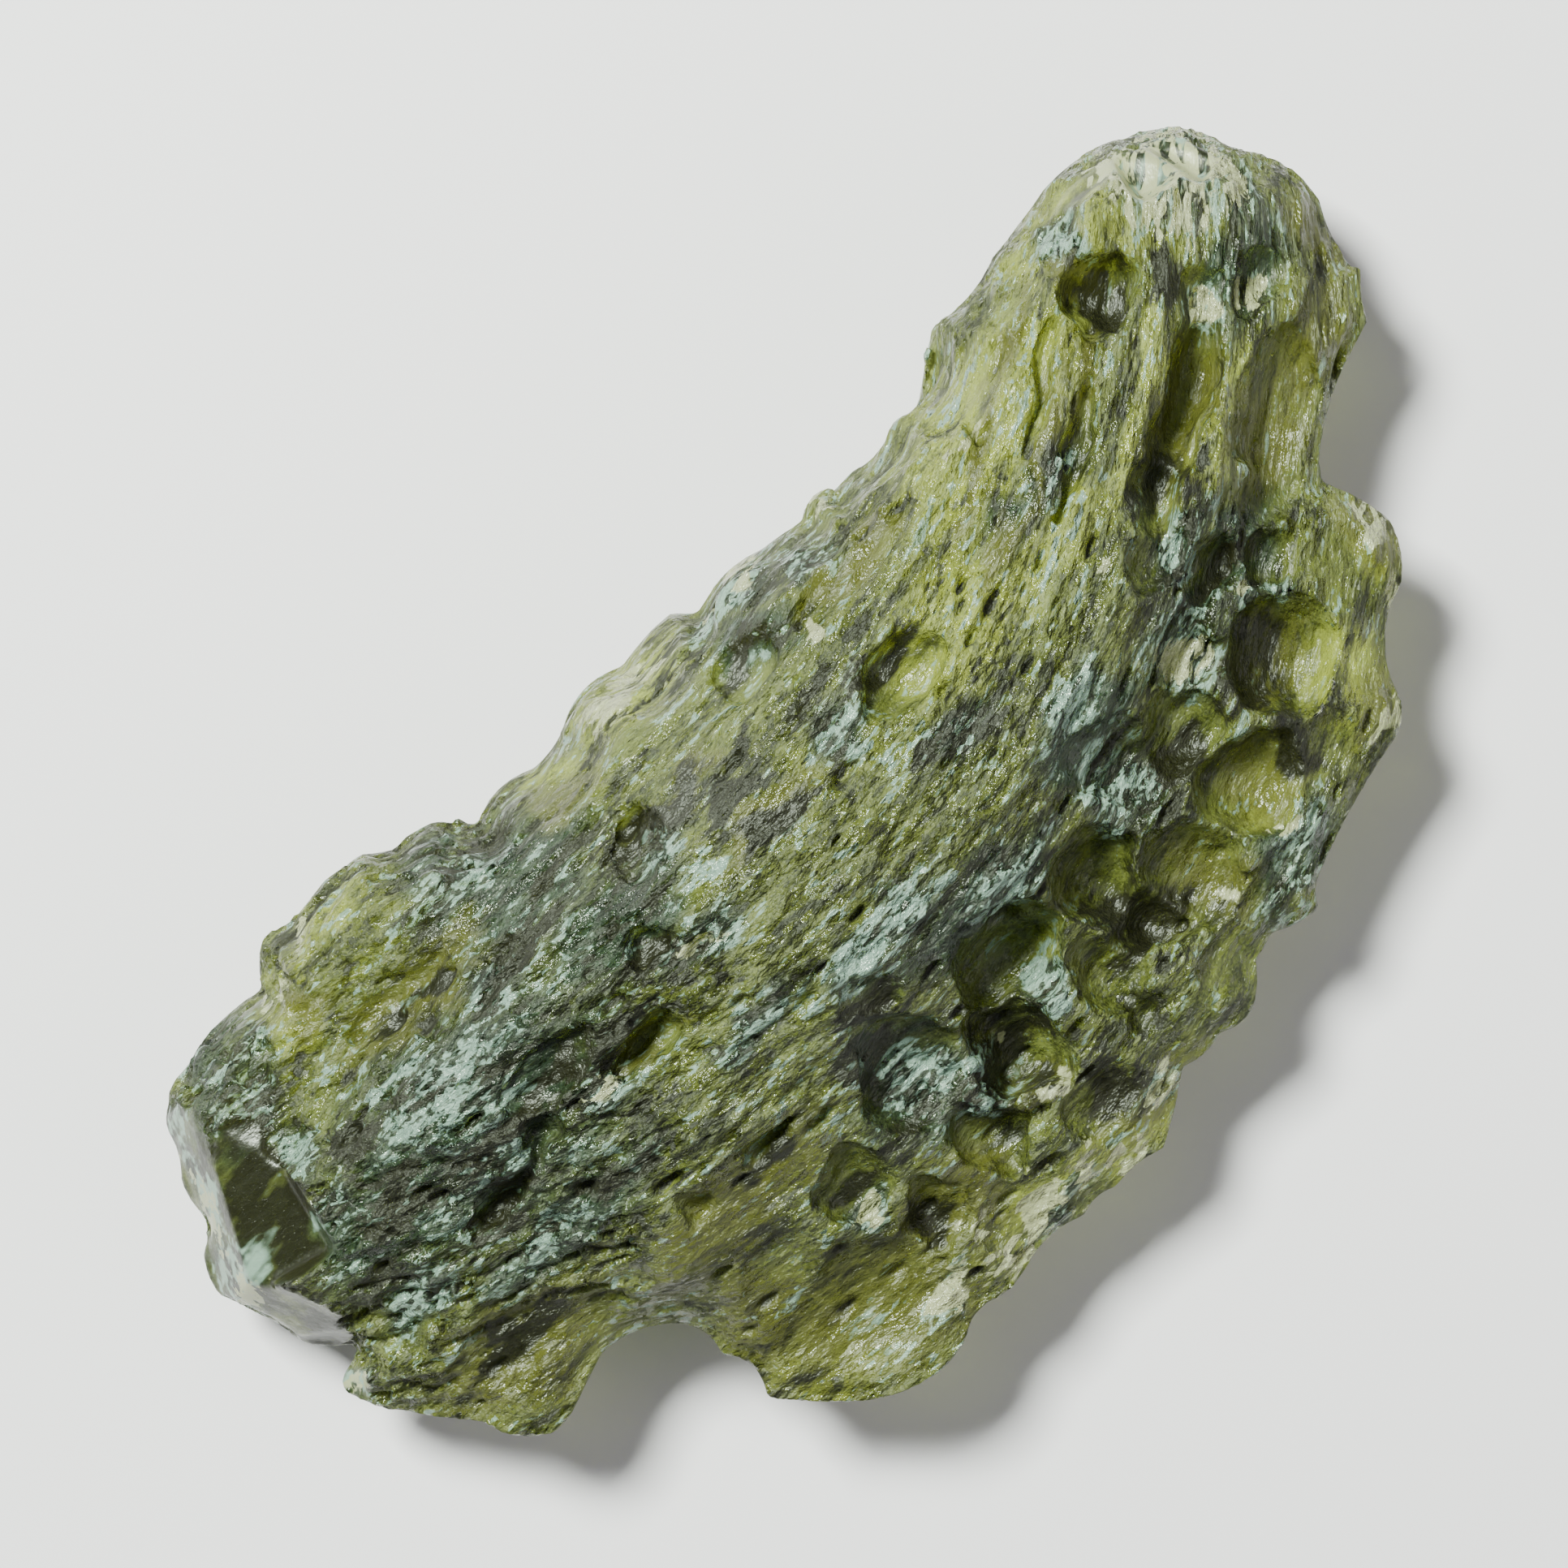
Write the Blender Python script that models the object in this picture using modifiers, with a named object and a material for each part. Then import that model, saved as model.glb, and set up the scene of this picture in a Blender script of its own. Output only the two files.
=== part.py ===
"""A moldavite: one natural piece of etched green glass, lying on its underside.

Units are metres and +Z is up. The origin is at the middle of the stone's box, on the surface it rests on.
+X runs along the stone towards its narrow end and +Y across it, towards its thick side.

The stone starts as a slab cut to its scalloped outline. Two height maps then move the slab's upper and
lower faces: the upper one holds the ridge, the thin flange and the hollows that can be told apart in a
picture of the stone, and the lower one is a shallow belly with three worn feet. Last, the etched skin is
raised along the surface's own direction, so that steep sides have it too.
"""

import math

import bmesh
import bpy
import numpy as np
from mathutils import Matrix, Vector, noise

# Driving dimensions
LENGTH = 0.0340
THICKNESS = 0.0082

# Every place and size below is in millimetres on a stone of about this size. The finished stone is scaled
# to LENGTH and THICKNESS.

# Mesh fineness
SLAB_HEIGHT = 1.2
VOXEL = 0.25
RIM_STEP = 0.25
TRIANGLES = 9500

# The rim, anticlockwise from the notch below the narrow end: x, y and how far the arc to the next tooth
# swells outwards. A negative swell is a scallop.
RIM = (
    (12.48, -0.95, 0.06), (12.75, -0.65, -0.03), (13.85, 0.08, -0.05), (15.70, 0.70, -0.06),
    (16.42, 1.62, -0.10), (16.45, 2.25, -0.06), (16.92, 3.30, 0.06), (16.99, 4.50, 0.03),
    (16.50, 5.55, 0.10), (15.95, 6.75, 0.08), (15.05, 7.35, 0.05), (14.40, 7.70, 0.05),
    (12.95, 7.87, -0.04), (11.15, 7.65, -0.18), (9.15, 7.55, -0.10), (8.05, 6.65, -0.12),
    (7.05, 6.72, -0.17), (5.60, 6.52, 0.03), (5.00, 6.50, 0.26), (4.10, 6.60, 0.02),
    (3.00, 6.84, 0.20), (1.02, 6.84, 0.04), (0.62, 7.30, 0.06), (-0.92, 7.25, 0.29),
    (-2.85, 7.20, -0.06), (-3.90, 7.10, 0.22), (-5.60, 7.10, -0.05), (-6.15, 7.75, 0.10),
    (-7.20, 8.02, -0.03), (-7.85, 8.50, 0.09), (-9.95, 8.55, 0.15), (-11.00, 8.58, 0.03),
    (-11.50, 8.00, 0.20), (-13.90, 8.00, 0.05), (-14.65, 7.78, 0.12), (-15.20, 7.05, -0.04),
    (-15.70, 6.35, 0.06), (-15.90, 5.45, -0.10), (-16.50, 4.92, 0.08), (-16.95, 4.00, -0.03),
    (-16.45, 2.30, 0.04), (-16.30, 1.75, 0.04), (-15.62, 1.10, 0.02), (-15.66, 0.84, -0.04),
    (-16.12, 0.84, 0.10), (-16.50, 0.52, 0.06), (-15.95, -0.55, 0.05), (-14.95, -1.90, -0.05),
    (-14.70, -2.55, 0.08), (-13.90, -3.38, 0.08), (-13.10, -3.25, -0.50), (-10.35, -3.65, -0.18),
    (-10.15, -4.85, -0.26), (-10.10, -6.15, 0.06), (-9.95, -6.42, 0.04), (-8.90, -7.62, 0.12),
    (-7.30, -8.48, 0.08), (-6.20, -8.42, -0.18), (-5.00, -8.36, 0.03), (-4.20, -8.32, -0.17),
    (-2.50, -8.46, -0.12), (-1.60, -8.50, -0.10), (-0.30, -8.66, 0.06), (1.30, -7.70, 0.14),
    (2.35, -7.76, 0.08), (3.15, -7.96, 0.10), (4.05, -7.22, 0.05), (4.70, -7.06, 0.08),
    (5.82, -7.46, -0.10), (6.40, -6.92, -0.10), (9.70, -6.05, 0.10), (10.40, -5.35, -0.08),
    (11.00, -4.45, -0.10), (12.05, -3.85, 0.14), (12.95, -2.65, 0.07), (12.60, -1.25, 0.02),
)

# Spot heights of the upper face before anything is hollowed out of it: x, y, height
UPPER_SPOTS = (
    # the ridge, from the narrow end to the broad one
    (16.0, 5.0, 4.9), (14.0, 5.4, 5.8), (11.5, 4.8, 6.5), (8.5, 4.4, 7.0), (5.5, 3.8, 7.5),
    (2.5, 3.0, 7.9), (-0.5, 2.6, 8.2), (-3.5, 2.4, 8.2), (-6.5, 2.6, 7.8), (-9.5, 2.8, 7.3),
    (-12.5, 2.8, 6.6), (-15.0, 2.8, 5.5),
    # its shoulder on the thick side, and the lower ledge beyond
    (9.5, 6.9, 5.9), (5.5, 6.0, 6.8), (2.0, 6.2, 6.9), (-1.5, 5.9, 7.2), (-4.5, 5.2, 7.2),
    (-7.5, 6.4, 5.8), (-10.5, 6.8, 5.0), (-13.2, 6.5, 4.7), (-0.8, 7.2, 3.5), (-4.4, 6.8, 3.8),
    # its shoulder above the flange
    (13.0, 2.6, 5.5), (10.0, 2.0, 6.5), (7.0, 1.0, 7.2), (4.0, 0.0, 7.6), (1.0, -1.0, 7.8),
    (-2.5, -0.8, 7.9), (-6.0, -1.0, 7.4), (-9.0, -0.6, 6.8), (-12.0, 0.4, 6.0), (-14.6, 1.0, 5.0),
    # the flange, from the narrow end to the broad one
    (14.8, 1.8, 4.7), (12.3, -0.4, 4.7), (11.8, -2.4, 4.7), (9.6, -4.2, 4.6), (8.0, -2.4, 5.4),
    (6.2, -5.2, 4.7), (4.6, -3.0, 5.6), (2.6, -5.8, 4.7), (1.2, -3.4, 5.8), (-1.5, -4.0, 5.8),
    (-1.2, -6.8, 4.4), (-4.4, -3.4, 5.9), (-4.5, -6.6, 4.4), (-7.2, -3.6, 5.4), (-8.0, -6.4, 4.1),
    (-11.6, -1.4, 4.7), (-13.6, -2.0, 4.0), (-15.4, 0.0, 3.8),
)

# Hollows in the upper face: x, y, half length, half width, turn in degrees, depth
UPPER_CUPS = (
    # bowls of the flange
    (0.4, -3.1, 1.45, 1.20, -10, 1.7), (2.8, -3.4, 1.05, 1.00, 10, 1.3), (3.0, -5.0, 0.80, 1.05, 25, 1.2),
    (1.6, -5.2, 0.80, 0.90, 0, 0.8), (-0.95, -4.7, 1.15, 1.25, 20, 1.8), (-2.9, -3.4, 1.30, 1.40, 15, 0.9),
    (4.4, -4.9, 1.15, 1.35, -10, 1.0), (6.7, -4.5, 1.35, 1.15, 10, 1.1), (9.1, -2.9, 1.45, 1.30, 20, 1.3),
    (7.7, -1.5, 0.85, 0.75, 0, 0.5), (4.9, -2.0, 0.95, 1.25, 30, 0.6), (6.3, -2.6, 1.15, 0.85, 20, 0.8),
    (1.5, -6.25, 0.60, 0.40, 0, 0.5), (-0.5, -6.8, 0.95, 0.85, 0, 0.5), (-2.6, -5.7, 1.05, 0.90, -20, 0.8),
    (10.4, -1.4, 0.75, 0.65, 0, 0.7), (9.3, -0.5, 0.95, 0.50, 15, 0.8), (11.5, -2.6, 0.95, 0.85, 40, 0.5),
    (5.6, -6.3, 1.20, 0.65, 15, 0.4), (8.3, -5.2, 1.05, 0.75, 15, 0.5), (3.6, -6.7, 0.95, 0.70, 0, 0.4),
    (10.1, -4.4, 0.75, 0.55, 30, 0.4),
    # shallow bowls of the thin lobes
    (-5.5, -4.3, 0.75, 0.75, 0, 0.7), (-4.7, -5.9, 0.85, 0.95, -20, 0.6), (-7.3, -6.3, 2.20, 1.40, -15, 0.5),
    (-3.4, -7.3, 1.20, 0.75, 0, 0.4), (-8.0, -4.6, 1.10, 0.80, 10, 0.3), (-13.0, -1.4, 1.70, 0.90, -5, 0.4),
    (-11.3, -2.0, 0.95, 0.75, 0, 0.3), (-2.3, -1.65, 0.80, 0.45, 5, 0.4), (-6.0, -2.2, 0.90, 0.40, 4, 0.5),
    (-8.1, -2.3, 0.45, 0.45, 0, 0.4),
    # troughs and pits of the narrow end
    (11.4, 2.35, 2.20, 0.75, 30, 1.2), (9.6, 1.5, 0.95, 0.60, 30, 1.1), (12.6, 0.6, 2.30, 0.85, 35, 0.9),
    (13.4, 3.7, 0.80, 0.55, 20, 0.6), (14.5, 3.1, 0.75, 0.60, 10, 0.5), (11.8, 5.3, 0.95, 0.80, 35, 1.3),
    (12.2, 6.6, 0.65, 0.60, 0, 0.4), (8.8, 0.5, 1.05, 0.55, 20, 0.7), (15.2, 1.7, 0.95, 0.60, 20, 0.3),
    (9.1, 3.3, 1.80, 0.32, 29, 0.5), (8.6, 5.6, 1.60, 0.35, 32, 0.4), (9.6, 4.8, 1.70, 0.30, 33, 0.4),
    # pits of the ridge
    (3.2, 2.7, 1.20, 0.82, 12, 0.8), (-6.35, 1.25, 1.10, 0.50, -8, 1.0), (-10.9, 0.95, 1.10, 0.40, 8, 0.7),
    (-4.6, 2.5, 0.65, 0.42, 0, 0.6), (-3.4, 4.3, 0.65, 0.65, 20, 0.5), (0.9, 5.2, 0.80, 0.55, 10, 0.5),
    (-8.2, 2.2, 1.40, 0.40, 4, 0.5), (-9.3, 1.3, 0.65, 0.45, 30, 0.6), (4.0, 5.1, 1.80, 0.50, 2, 0.3),
    (-9.3, 5.5, 1.60, 0.65, 0, 0.4), (-13.3, 5.0, 0.70, 0.60, 20, 0.4), (-14.2, 0.7, 0.85, 0.70, 40, 0.4),
    (-12.6, 7.0, 0.60, 0.50, 0, 0.4),
)

# Flat chips knocked off the ends: a point on the chip's upper edge, its height, the way the chip faces
# in degrees, its slope and how far it reaches along the edge
CHIPS = (
    (-15.15, 4.90, 4.9, 153, 2.3, 3.2), (-13.80, 4.60, 5.0, 165, 0.35, 1.7),
    (-15.70, 3.10, 4.5, 200, 1.9, 1.4), (-15.90, 0.60, 3.0, 150, 1.3, 0.8),
    (14.90, 6.00, 4.7, 80, 0.33, 0.8), (15.90, 5.60, 4.4, 100, 0.42, 0.6), (15.20, 6.60, 4.7, 50, 1.3, 2.2),
    (16.10, 4.90, 4.6, 12, 1.4, 1.6), (13.80, 7.00, 4.9, 82, 1.1, 1.8),
)

# Feet of the underside: x, y and how far across the worn flat is
FEET = ((-8.5, 2.9, 3.4), (9.2, 3.4, 3.2), (-0.6, -2.6, 3.4))

# The sharp edge: its height round the flange and on the thick side, and how it rises and falls
EDGE_THICKNESS = 0.30
THIN_SIDE_RIM = 3.3
THICK_SIDE_RIM = 2.0
RIM_WAVE = 0.35
RIM_WAVE_LENGTH = 2.4

# Where the flange ends and the thick side begins, measured across a line that leans by THICK_SIDE_LEAN
FLANGE_ENDS = -1.0
THICK_SIDE_BEGINS = 4.5
THICK_SIDE_LEAN = 0.12

# The upper face: how far in from the edge it is whole, and how steeply it rises there
SPOT_REACH = 1.3
THIN_SIDE_SLOPE = 2.4
THICK_SIDE_SLOPE = 1.5
UPPER_BLUNTNESS = 0.72
CHIP_STEP = 4.0

# Its hollows: how round they are and how far their outlines wander
CUP_PROFILE = 0.62
CUP_WARP = 0.34
CUP_WARP_LENGTH = 1.1
CUP_WARP_FINE_SHARE = 0.35
CUP_WARP_FINE_LENGTH = 0.45

# The underside: its belly, the belly's shallow bowls and the feet
BELLY_SLOPE = 5.5
BELLY_BLUNTNESS = 0.9
BELLY_HEIGHT = 0.3
BOWL_CELL = 2.6
BOWL_STRETCH = 1.25
BOWL_DEPTH = 1.1
BOWL_MEAN = 0.25
FOOT_LEVEL = -0.3
FOOT_FLAT_SHARE = 0.25
FOOT_WHOLE_SHARE = 1.1
FOOT_WARP_LENGTH = 1.5

# The etched skin
COARSE_CELL = 1.6
COARSE_STRETCH = 1.6
COARSE_RELIEF = 0.45
FINE_CELL = 0.95
FINE_STRETCH = 3.2
FINE_RELIEF = 0.3
RELIEF_MEAN = 0.3
CUP_SMOOTHNESS = 0.7
SMOOTH_BY_EDGE = 1.5

# Where each random field is sampled, so that no two repeat each other
RIM_FIELD = 3.0
COARSE_FIELD = 7.0
FINE_FIELD = 11.0
BOWL_FIELD = 23.0
CUP_X_FIELD = 41.0
CUP_Y_FIELD = 43.0
FOOT_FIELD = 53.0

# The flow of the once molten glass: its slope at the middle, how the slope grows per millimetre along the
# stone, and how that growth grows in turn towards the narrow end
FLOW_AT_MIDDLE = 0.052
FLOW_BEND = 0.0327
FLOW_TWIST = 0.0033

# Glass
GLASS_COLOUR = (0.24, 0.25, 0.10, 1.0)
GLASS_ROUGHNESS = 0.32
GLASS_IOR = 1.49


def clear_scene():
    """Removes whatever the file held."""
    for obj in list(bpy.data.objects):
        bpy.data.objects.remove(obj)


def smoothstep(low, high, value):
    """0 below low, 1 above high and an even S between them."""
    t = np.clip((value - low) / (high - low), 0.0, 1.0)
    return t * t * (3.0 - 2.0 * t)


def rim_points():
    """The rim as a closed line with a point every RIM_STEP, in survey units."""
    points = []
    for (x0, y0, swell), (x1, y1, _) in zip(RIM, RIM[1:] + RIM[:1]):
        chord = np.array((x1 - x0, y1 - y0))
        length = float(np.hypot(*chord))
        outwards = np.array((chord[1], -chord[0])) / length
        steps = max(2, math.ceil(length / RIM_STEP))
        for step in range(steps):
            t = step / steps
            arc = 4.0 * swell * t * (1.0 - t) * outwards
            points.append((x0 + t * chord[0] + arc[0], y0 + t * chord[1] + arc[1]))
    return np.array(points)


def distance_to_rim(x, y, rim):
    """How far each point is from the nearest stretch of the rim."""
    nearest = np.full(x.shape, np.inf)
    for start, end in zip(rim, np.roll(rim, -1, axis=0)):
        run = end - start
        share = ((x - start[0]) * run[0] + (y - start[1]) * run[1]) / (run @ run)
        share = np.clip(share, 0.0, 1.0)
        gap = np.hypot(x - start[0] - share * run[0], y - start[1] - share * run[1])
        nearest = np.minimum(nearest, gap)
    return nearest


def flow_coordinates(x, y):
    """Along and across the glass's flow lines, which bend ever more towards the narrow end."""
    return x, y - FLOW_AT_MIDDLE * x - FLOW_BEND * x**2 / 2 - FLOW_TWIST * x**3 / 6


def scallops(points, cell, stretch, field):
    """A field of touching cups, from 0 at their floors to about 1 at the crests where they meet."""
    along, across = flow_coordinates(points[:, 0], points[:, 1])
    places = np.column_stack((along / (cell * stretch), across / cell, points[:, 2] / cell + field))
    depth = [noise.voronoi(Vector(place), distance_metric="DISTANCE_SQUARED")[0][0] for place in places]
    return np.clip(depth, 0.0, 1.0)


def swells(x, y, size, field):
    """Smooth noise from about -1 to 1, with hills of about this size."""
    return np.array([noise.noise(Vector((a / size, b / size, field))) for a, b in zip(x, y)])


def spot_surface(x, y):
    """The smooth surface that follows the upper face's spot heights."""
    weight_sum = np.zeros(x.shape)
    height_sum = np.zeros(x.shape)
    for sx, sy, height in UPPER_SPOTS:
        squared = (x - sx) ** 2 + (y - sy) ** 2
        weight = np.exp(-0.5 * squared / SPOT_REACH**2) + 1e-4 / (1.0 + squared)
        weight_sum += weight
        height_sum += weight * height
    return height_sum / weight_sum


def cup_warp(x, y, field):
    """How far the outlines of the hollows are shifted at each point."""
    broad = swells(x, y, CUP_WARP_LENGTH, field)
    fine = swells(x, y, CUP_WARP_FINE_LENGTH, field)
    return CUP_WARP * (broad + CUP_WARP_FINE_SHARE * fine)


def cup_depth(x, y, cups):
    """How deep the hollows are. Where two meet, the deeper one counts, which leaves a crest between."""
    warped_x = x + cup_warp(x, y, CUP_X_FIELD)
    warped_y = y + cup_warp(x, y, CUP_Y_FIELD)
    deepest = np.zeros(x.shape)
    for cx, cy, half_length, half_width, turn, depth in cups:
        angle = math.radians(turn)
        along = (warped_x - cx) * math.cos(angle) + (warped_y - cy) * math.sin(angle)
        across = (warped_y - cy) * math.cos(angle) - (warped_x - cx) * math.sin(angle)
        inside = 1.0 - (along / half_length) ** 2 - (across / half_width) ** 2
        deepest = np.maximum(deepest, depth * np.clip(inside, 0.0, 1.0) ** CUP_PROFILE)
    return deepest


def chip_height(x, y):
    """The lowest chip plane over each point, far up where no chip reaches."""
    lowest = np.full(x.shape, 1e3)
    for px, py, height, facing, slope, reach in CHIPS:
        angle = math.radians(facing)
        outwards = (x - px) * math.cos(angle) + (y - py) * math.sin(angle)
        sideways = np.abs((y - py) * math.cos(angle) - (x - px) * math.sin(angle))
        beyond = np.clip(-outwards, 0.0, None) + np.clip(sideways - reach, 0.0, None)
        plane = height - slope * outwards + CHIP_STEP * beyond
        lowest = np.minimum(lowest, plane)
    return lowest


def thick_side(x, y):
    """0 over the flange to 1 over the thick side."""
    return smoothstep(FLANGE_ENDS, THICK_SIDE_BEGINS, y - THICK_SIDE_LEAN * x)


def rim_height(x, y):
    """Height of the sharp edge: low on the thick side, higher round the flange, and wavy all round."""
    level = THIN_SIDE_RIM + (THICK_SIDE_RIM - THIN_SIDE_RIM) * thick_side(x, y)
    return level + RIM_WAVE * swells(x, y, RIM_WAVE_LENGTH, RIM_FIELD)


def edge_rise(distance, slope, bluntness):
    """0 at the rim and 1 from a distance of slope inwards. A low bluntness rises steeply at the rim."""
    t = np.clip(distance / slope, 0.0, 1.0)
    return (t * (2.0 - t)) ** bluntness


def upper_height(x, y, distance):
    """Height of the upper face."""
    slope = THIN_SIDE_SLOPE + (THICK_SIDE_SLOPE - THIN_SIDE_SLOPE) * thick_side(x, y)
    body = spot_surface(x, y) - cup_depth(x, y, UPPER_CUPS)
    rim = rim_height(x, y)
    height = rim + (body - rim) * edge_rise(distance, slope, UPPER_BLUNTNESS)
    return np.minimum(height, chip_height(x, y))


def lower_height(x, y, distance):
    """Height of the underside: a belly of shallow bowls, with feet that reach below the resting plane."""
    flat = np.column_stack((x, y, np.zeros(x.shape)))
    belly = BELLY_HEIGHT + BOWL_DEPTH * (scallops(flat, BOWL_CELL, BOWL_STRETCH, BOWL_FIELD) - BOWL_MEAN)
    rim = rim_height(x, y)
    height = rim + (belly - rim) * edge_rise(distance, BELLY_SLOPE, BELLY_BLUNTNESS)
    for fx, fy, across in FEET:
        away = np.hypot(x - fx, y - fy) + swells(x, y, FOOT_WARP_LENGTH, FOOT_FIELD)
        foot = 1.0 - smoothstep(FOOT_FLAT_SHARE * across, FOOT_WHOLE_SHARE * across, away)
        height += (FOOT_LEVEL - height) * foot
    return height


def evaluated_copy(obj, name):
    """A new mesh object with the object's modifiers applied. The old object is removed."""
    bpy.context.view_layer.update()
    graph = bpy.context.evaluated_depsgraph_get()
    mesh = bpy.data.meshes.new_from_object(obj.evaluated_get(graph))
    copy = bpy.data.objects.new(name, mesh)
    copy.matrix_world = obj.matrix_world
    obj.users_collection[0].objects.link(copy)
    bpy.data.objects.remove(obj)
    return copy


def make_slab(rim, collection):
    """A slab with the rim's outline and an even mesh, in survey units."""
    curve = bpy.data.curves.new("outline", "CURVE")
    curve.dimensions = "2D"
    curve.fill_mode = "BOTH"
    curve.extrude = SLAB_HEIGHT / 2
    spline = curve.splines.new("POLY")
    spline.points.add(len(rim) - 1)
    spline.use_cyclic_u = True
    for point, (x, y) in zip(spline.points, rim):
        point.co = (x, y, 0.0, 1.0)
    outline = bpy.data.objects.new("outline", curve)
    collection.objects.link(outline)

    slab = evaluated_copy(outline, "slab")
    mesh = bmesh.new()
    mesh.from_mesh(slab.data)
    bmesh.ops.remove_doubles(mesh, verts=mesh.verts, dist=1e-4)
    bmesh.ops.recalc_face_normals(mesh, faces=mesh.faces)
    mesh.to_mesh(slab.data)
    mesh.free()

    return even_mesh(slab)


def even_mesh(obj):
    """The same shape with faces of an even size."""
    remesh = obj.modifiers.new("even mesh", "REMESH")
    remesh.mode = "VOXEL"
    remesh.voxel_size = VOXEL
    return evaluated_copy(obj, obj.name)


def vertex_vectors(mesh, attribute):
    """The vertices' places or normals as rows of an array."""
    values = np.empty(len(mesh.vertices) * 3)
    mesh.vertices.foreach_get(attribute, values)
    return values.reshape(-1, 3)


def move_vertices(mesh, points):
    """Puts the vertices at these places."""
    mesh.vertices.foreach_set("co", points.ravel())
    mesh.update()


def sculpt(slab, rim):
    """Moves the slab's vertices to the stone's two faces, and everything between in proportion."""
    points = vertex_vectors(slab.data, "co")
    x, y = points[:, 0], points[:, 1]
    share = np.clip(points[:, 2] / SLAB_HEIGHT + 0.5, 0.0, 1.0)

    distance = distance_to_rim(x, y, rim)
    lower = lower_height(x, y, distance)
    upper = np.maximum(upper_height(x, y, distance), lower + EDGE_THICKNESS)
    points[:, 2] = lower + (upper - lower) * share
    move_vertices(slab.data, points)


def etch(stone, rim):
    """Raises the etched skin. It fades out at the sharp edge, on the chips and, in part, in hollows."""
    points = vertex_vectors(stone.data, "co")
    normals = vertex_vectors(stone.data, "normal")
    x, y, z = points.T
    from_edge = np.hypot(distance_to_rim(x, y, rim), z - rim_height(x, y))
    hollow = smoothstep(0.0, 0.4, cup_depth(x, y, UPPER_CUPS)) * smoothstep(0.0, 0.5, normals[:, 2])
    relief = COARSE_RELIEF * (scallops(points, COARSE_CELL, COARSE_STRETCH, COARSE_FIELD) - RELIEF_MEAN)
    relief += FINE_RELIEF * (scallops(points, FINE_CELL, FINE_STRETCH, FINE_FIELD) - RELIEF_MEAN)
    relief *= smoothstep(0.0, SMOOTH_BY_EDGE, from_edge) * (1.0 - CUP_SMOOTHNESS * hollow)
    relief *= smoothstep(0.05, 0.35, chip_height(x, y) - z)
    move_vertices(stone.data, points + relief[:, None] * normals)


def thin_out(stone):
    """Keeps the triangles where the shape bends and merges them where it is plain."""
    mesh = stone.data
    mesh.calc_loop_triangles()
    decimate = stone.modifiers.new("fewer triangles", "DECIMATE")
    decimate.ratio = TRIANGLES / len(mesh.loop_triangles)
    decimate.use_collapse_triangulate = True
    return evaluated_copy(stone, "moldavite")


def wear_feet_flat(stone):
    """Cuts the feet off level with the resting plane."""
    mesh = bmesh.new()
    mesh.from_mesh(stone.data)
    geom = mesh.verts[:] + mesh.edges[:] + mesh.faces[:]
    down = (0.0, 0.0, -1.0)
    cut = bmesh.ops.bisect_plane(mesh, geom=geom, plane_co=(0.0, 0.0, 0.0), plane_no=down, clear_outer=True)
    edges = [item for item in cut["geom_cut"] if isinstance(item, bmesh.types.BMEdge)]
    bmesh.ops.holes_fill(mesh, edges=edges)
    bmesh.ops.triangulate(mesh, faces=mesh.faces)
    bmesh.ops.recalc_face_normals(mesh, faces=mesh.faces)
    mesh.to_mesh(stone.data)
    mesh.free()


def set_in_place(stone):
    """Scales the stone to its real size in metres, with the origin under its middle."""
    corners = vertex_vectors(stone.data, "co")
    low, high = corners.min(axis=0), corners.max(axis=0)
    middle = (low + high) / 2
    plan = LENGTH / (high[0] - low[0])
    stone.data.transform(Matrix.Translation((-middle[0], -middle[1], -low[2])))
    stone.data.transform(Matrix.Diagonal((plan, plan, THICKNESS / (high[2] - low[2]), 1.0)))


def glass():
    """Olive green natural glass with an etched skin."""
    material = bpy.data.materials.new("moldavite glass")
    material.use_nodes = True
    shader = material.node_tree.nodes["Principled BSDF"]
    shader.inputs["Base Color"].default_value = GLASS_COLOUR
    shader.inputs["Roughness"].default_value = GLASS_ROUGHNESS
    shader.inputs["Metallic"].default_value = 0.0
    shader.inputs["IOR"].default_value = GLASS_IOR
    return material


def main():
    """Builds the stone in a collection of its own."""
    clear_scene()
    collection = bpy.data.collections.new("moldavite")
    bpy.context.scene.collection.children.link(collection)
    rim = rim_points()
    slab = make_slab(rim, collection)
    sculpt(slab, rim)
    stone = even_mesh(slab)
    etch(stone, rim)
    stone = thin_out(stone)
    wear_feet_flat(stone)
    set_in_place(stone)
    stone.data.materials.clear()
    stone.data.materials.append(glass())
    stone.data.shade_smooth()


main()
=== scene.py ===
"""A moldavite as it looks: etched olive green natural glass, lying on a pale floor and seen from above.

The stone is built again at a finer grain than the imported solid, from the same rim, spot heights and
hollows. Its skin is etched more finely, and its glass takes up light by depth, so that the thin flange
glows and the ridge stays dark.
"""

import logging
import math
from dataclasses import dataclass
from enum import Enum
from typing import NamedTuple

import bmesh
import bpy
import numpy as np
from mathutils import Matrix, Vector, noise


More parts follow.
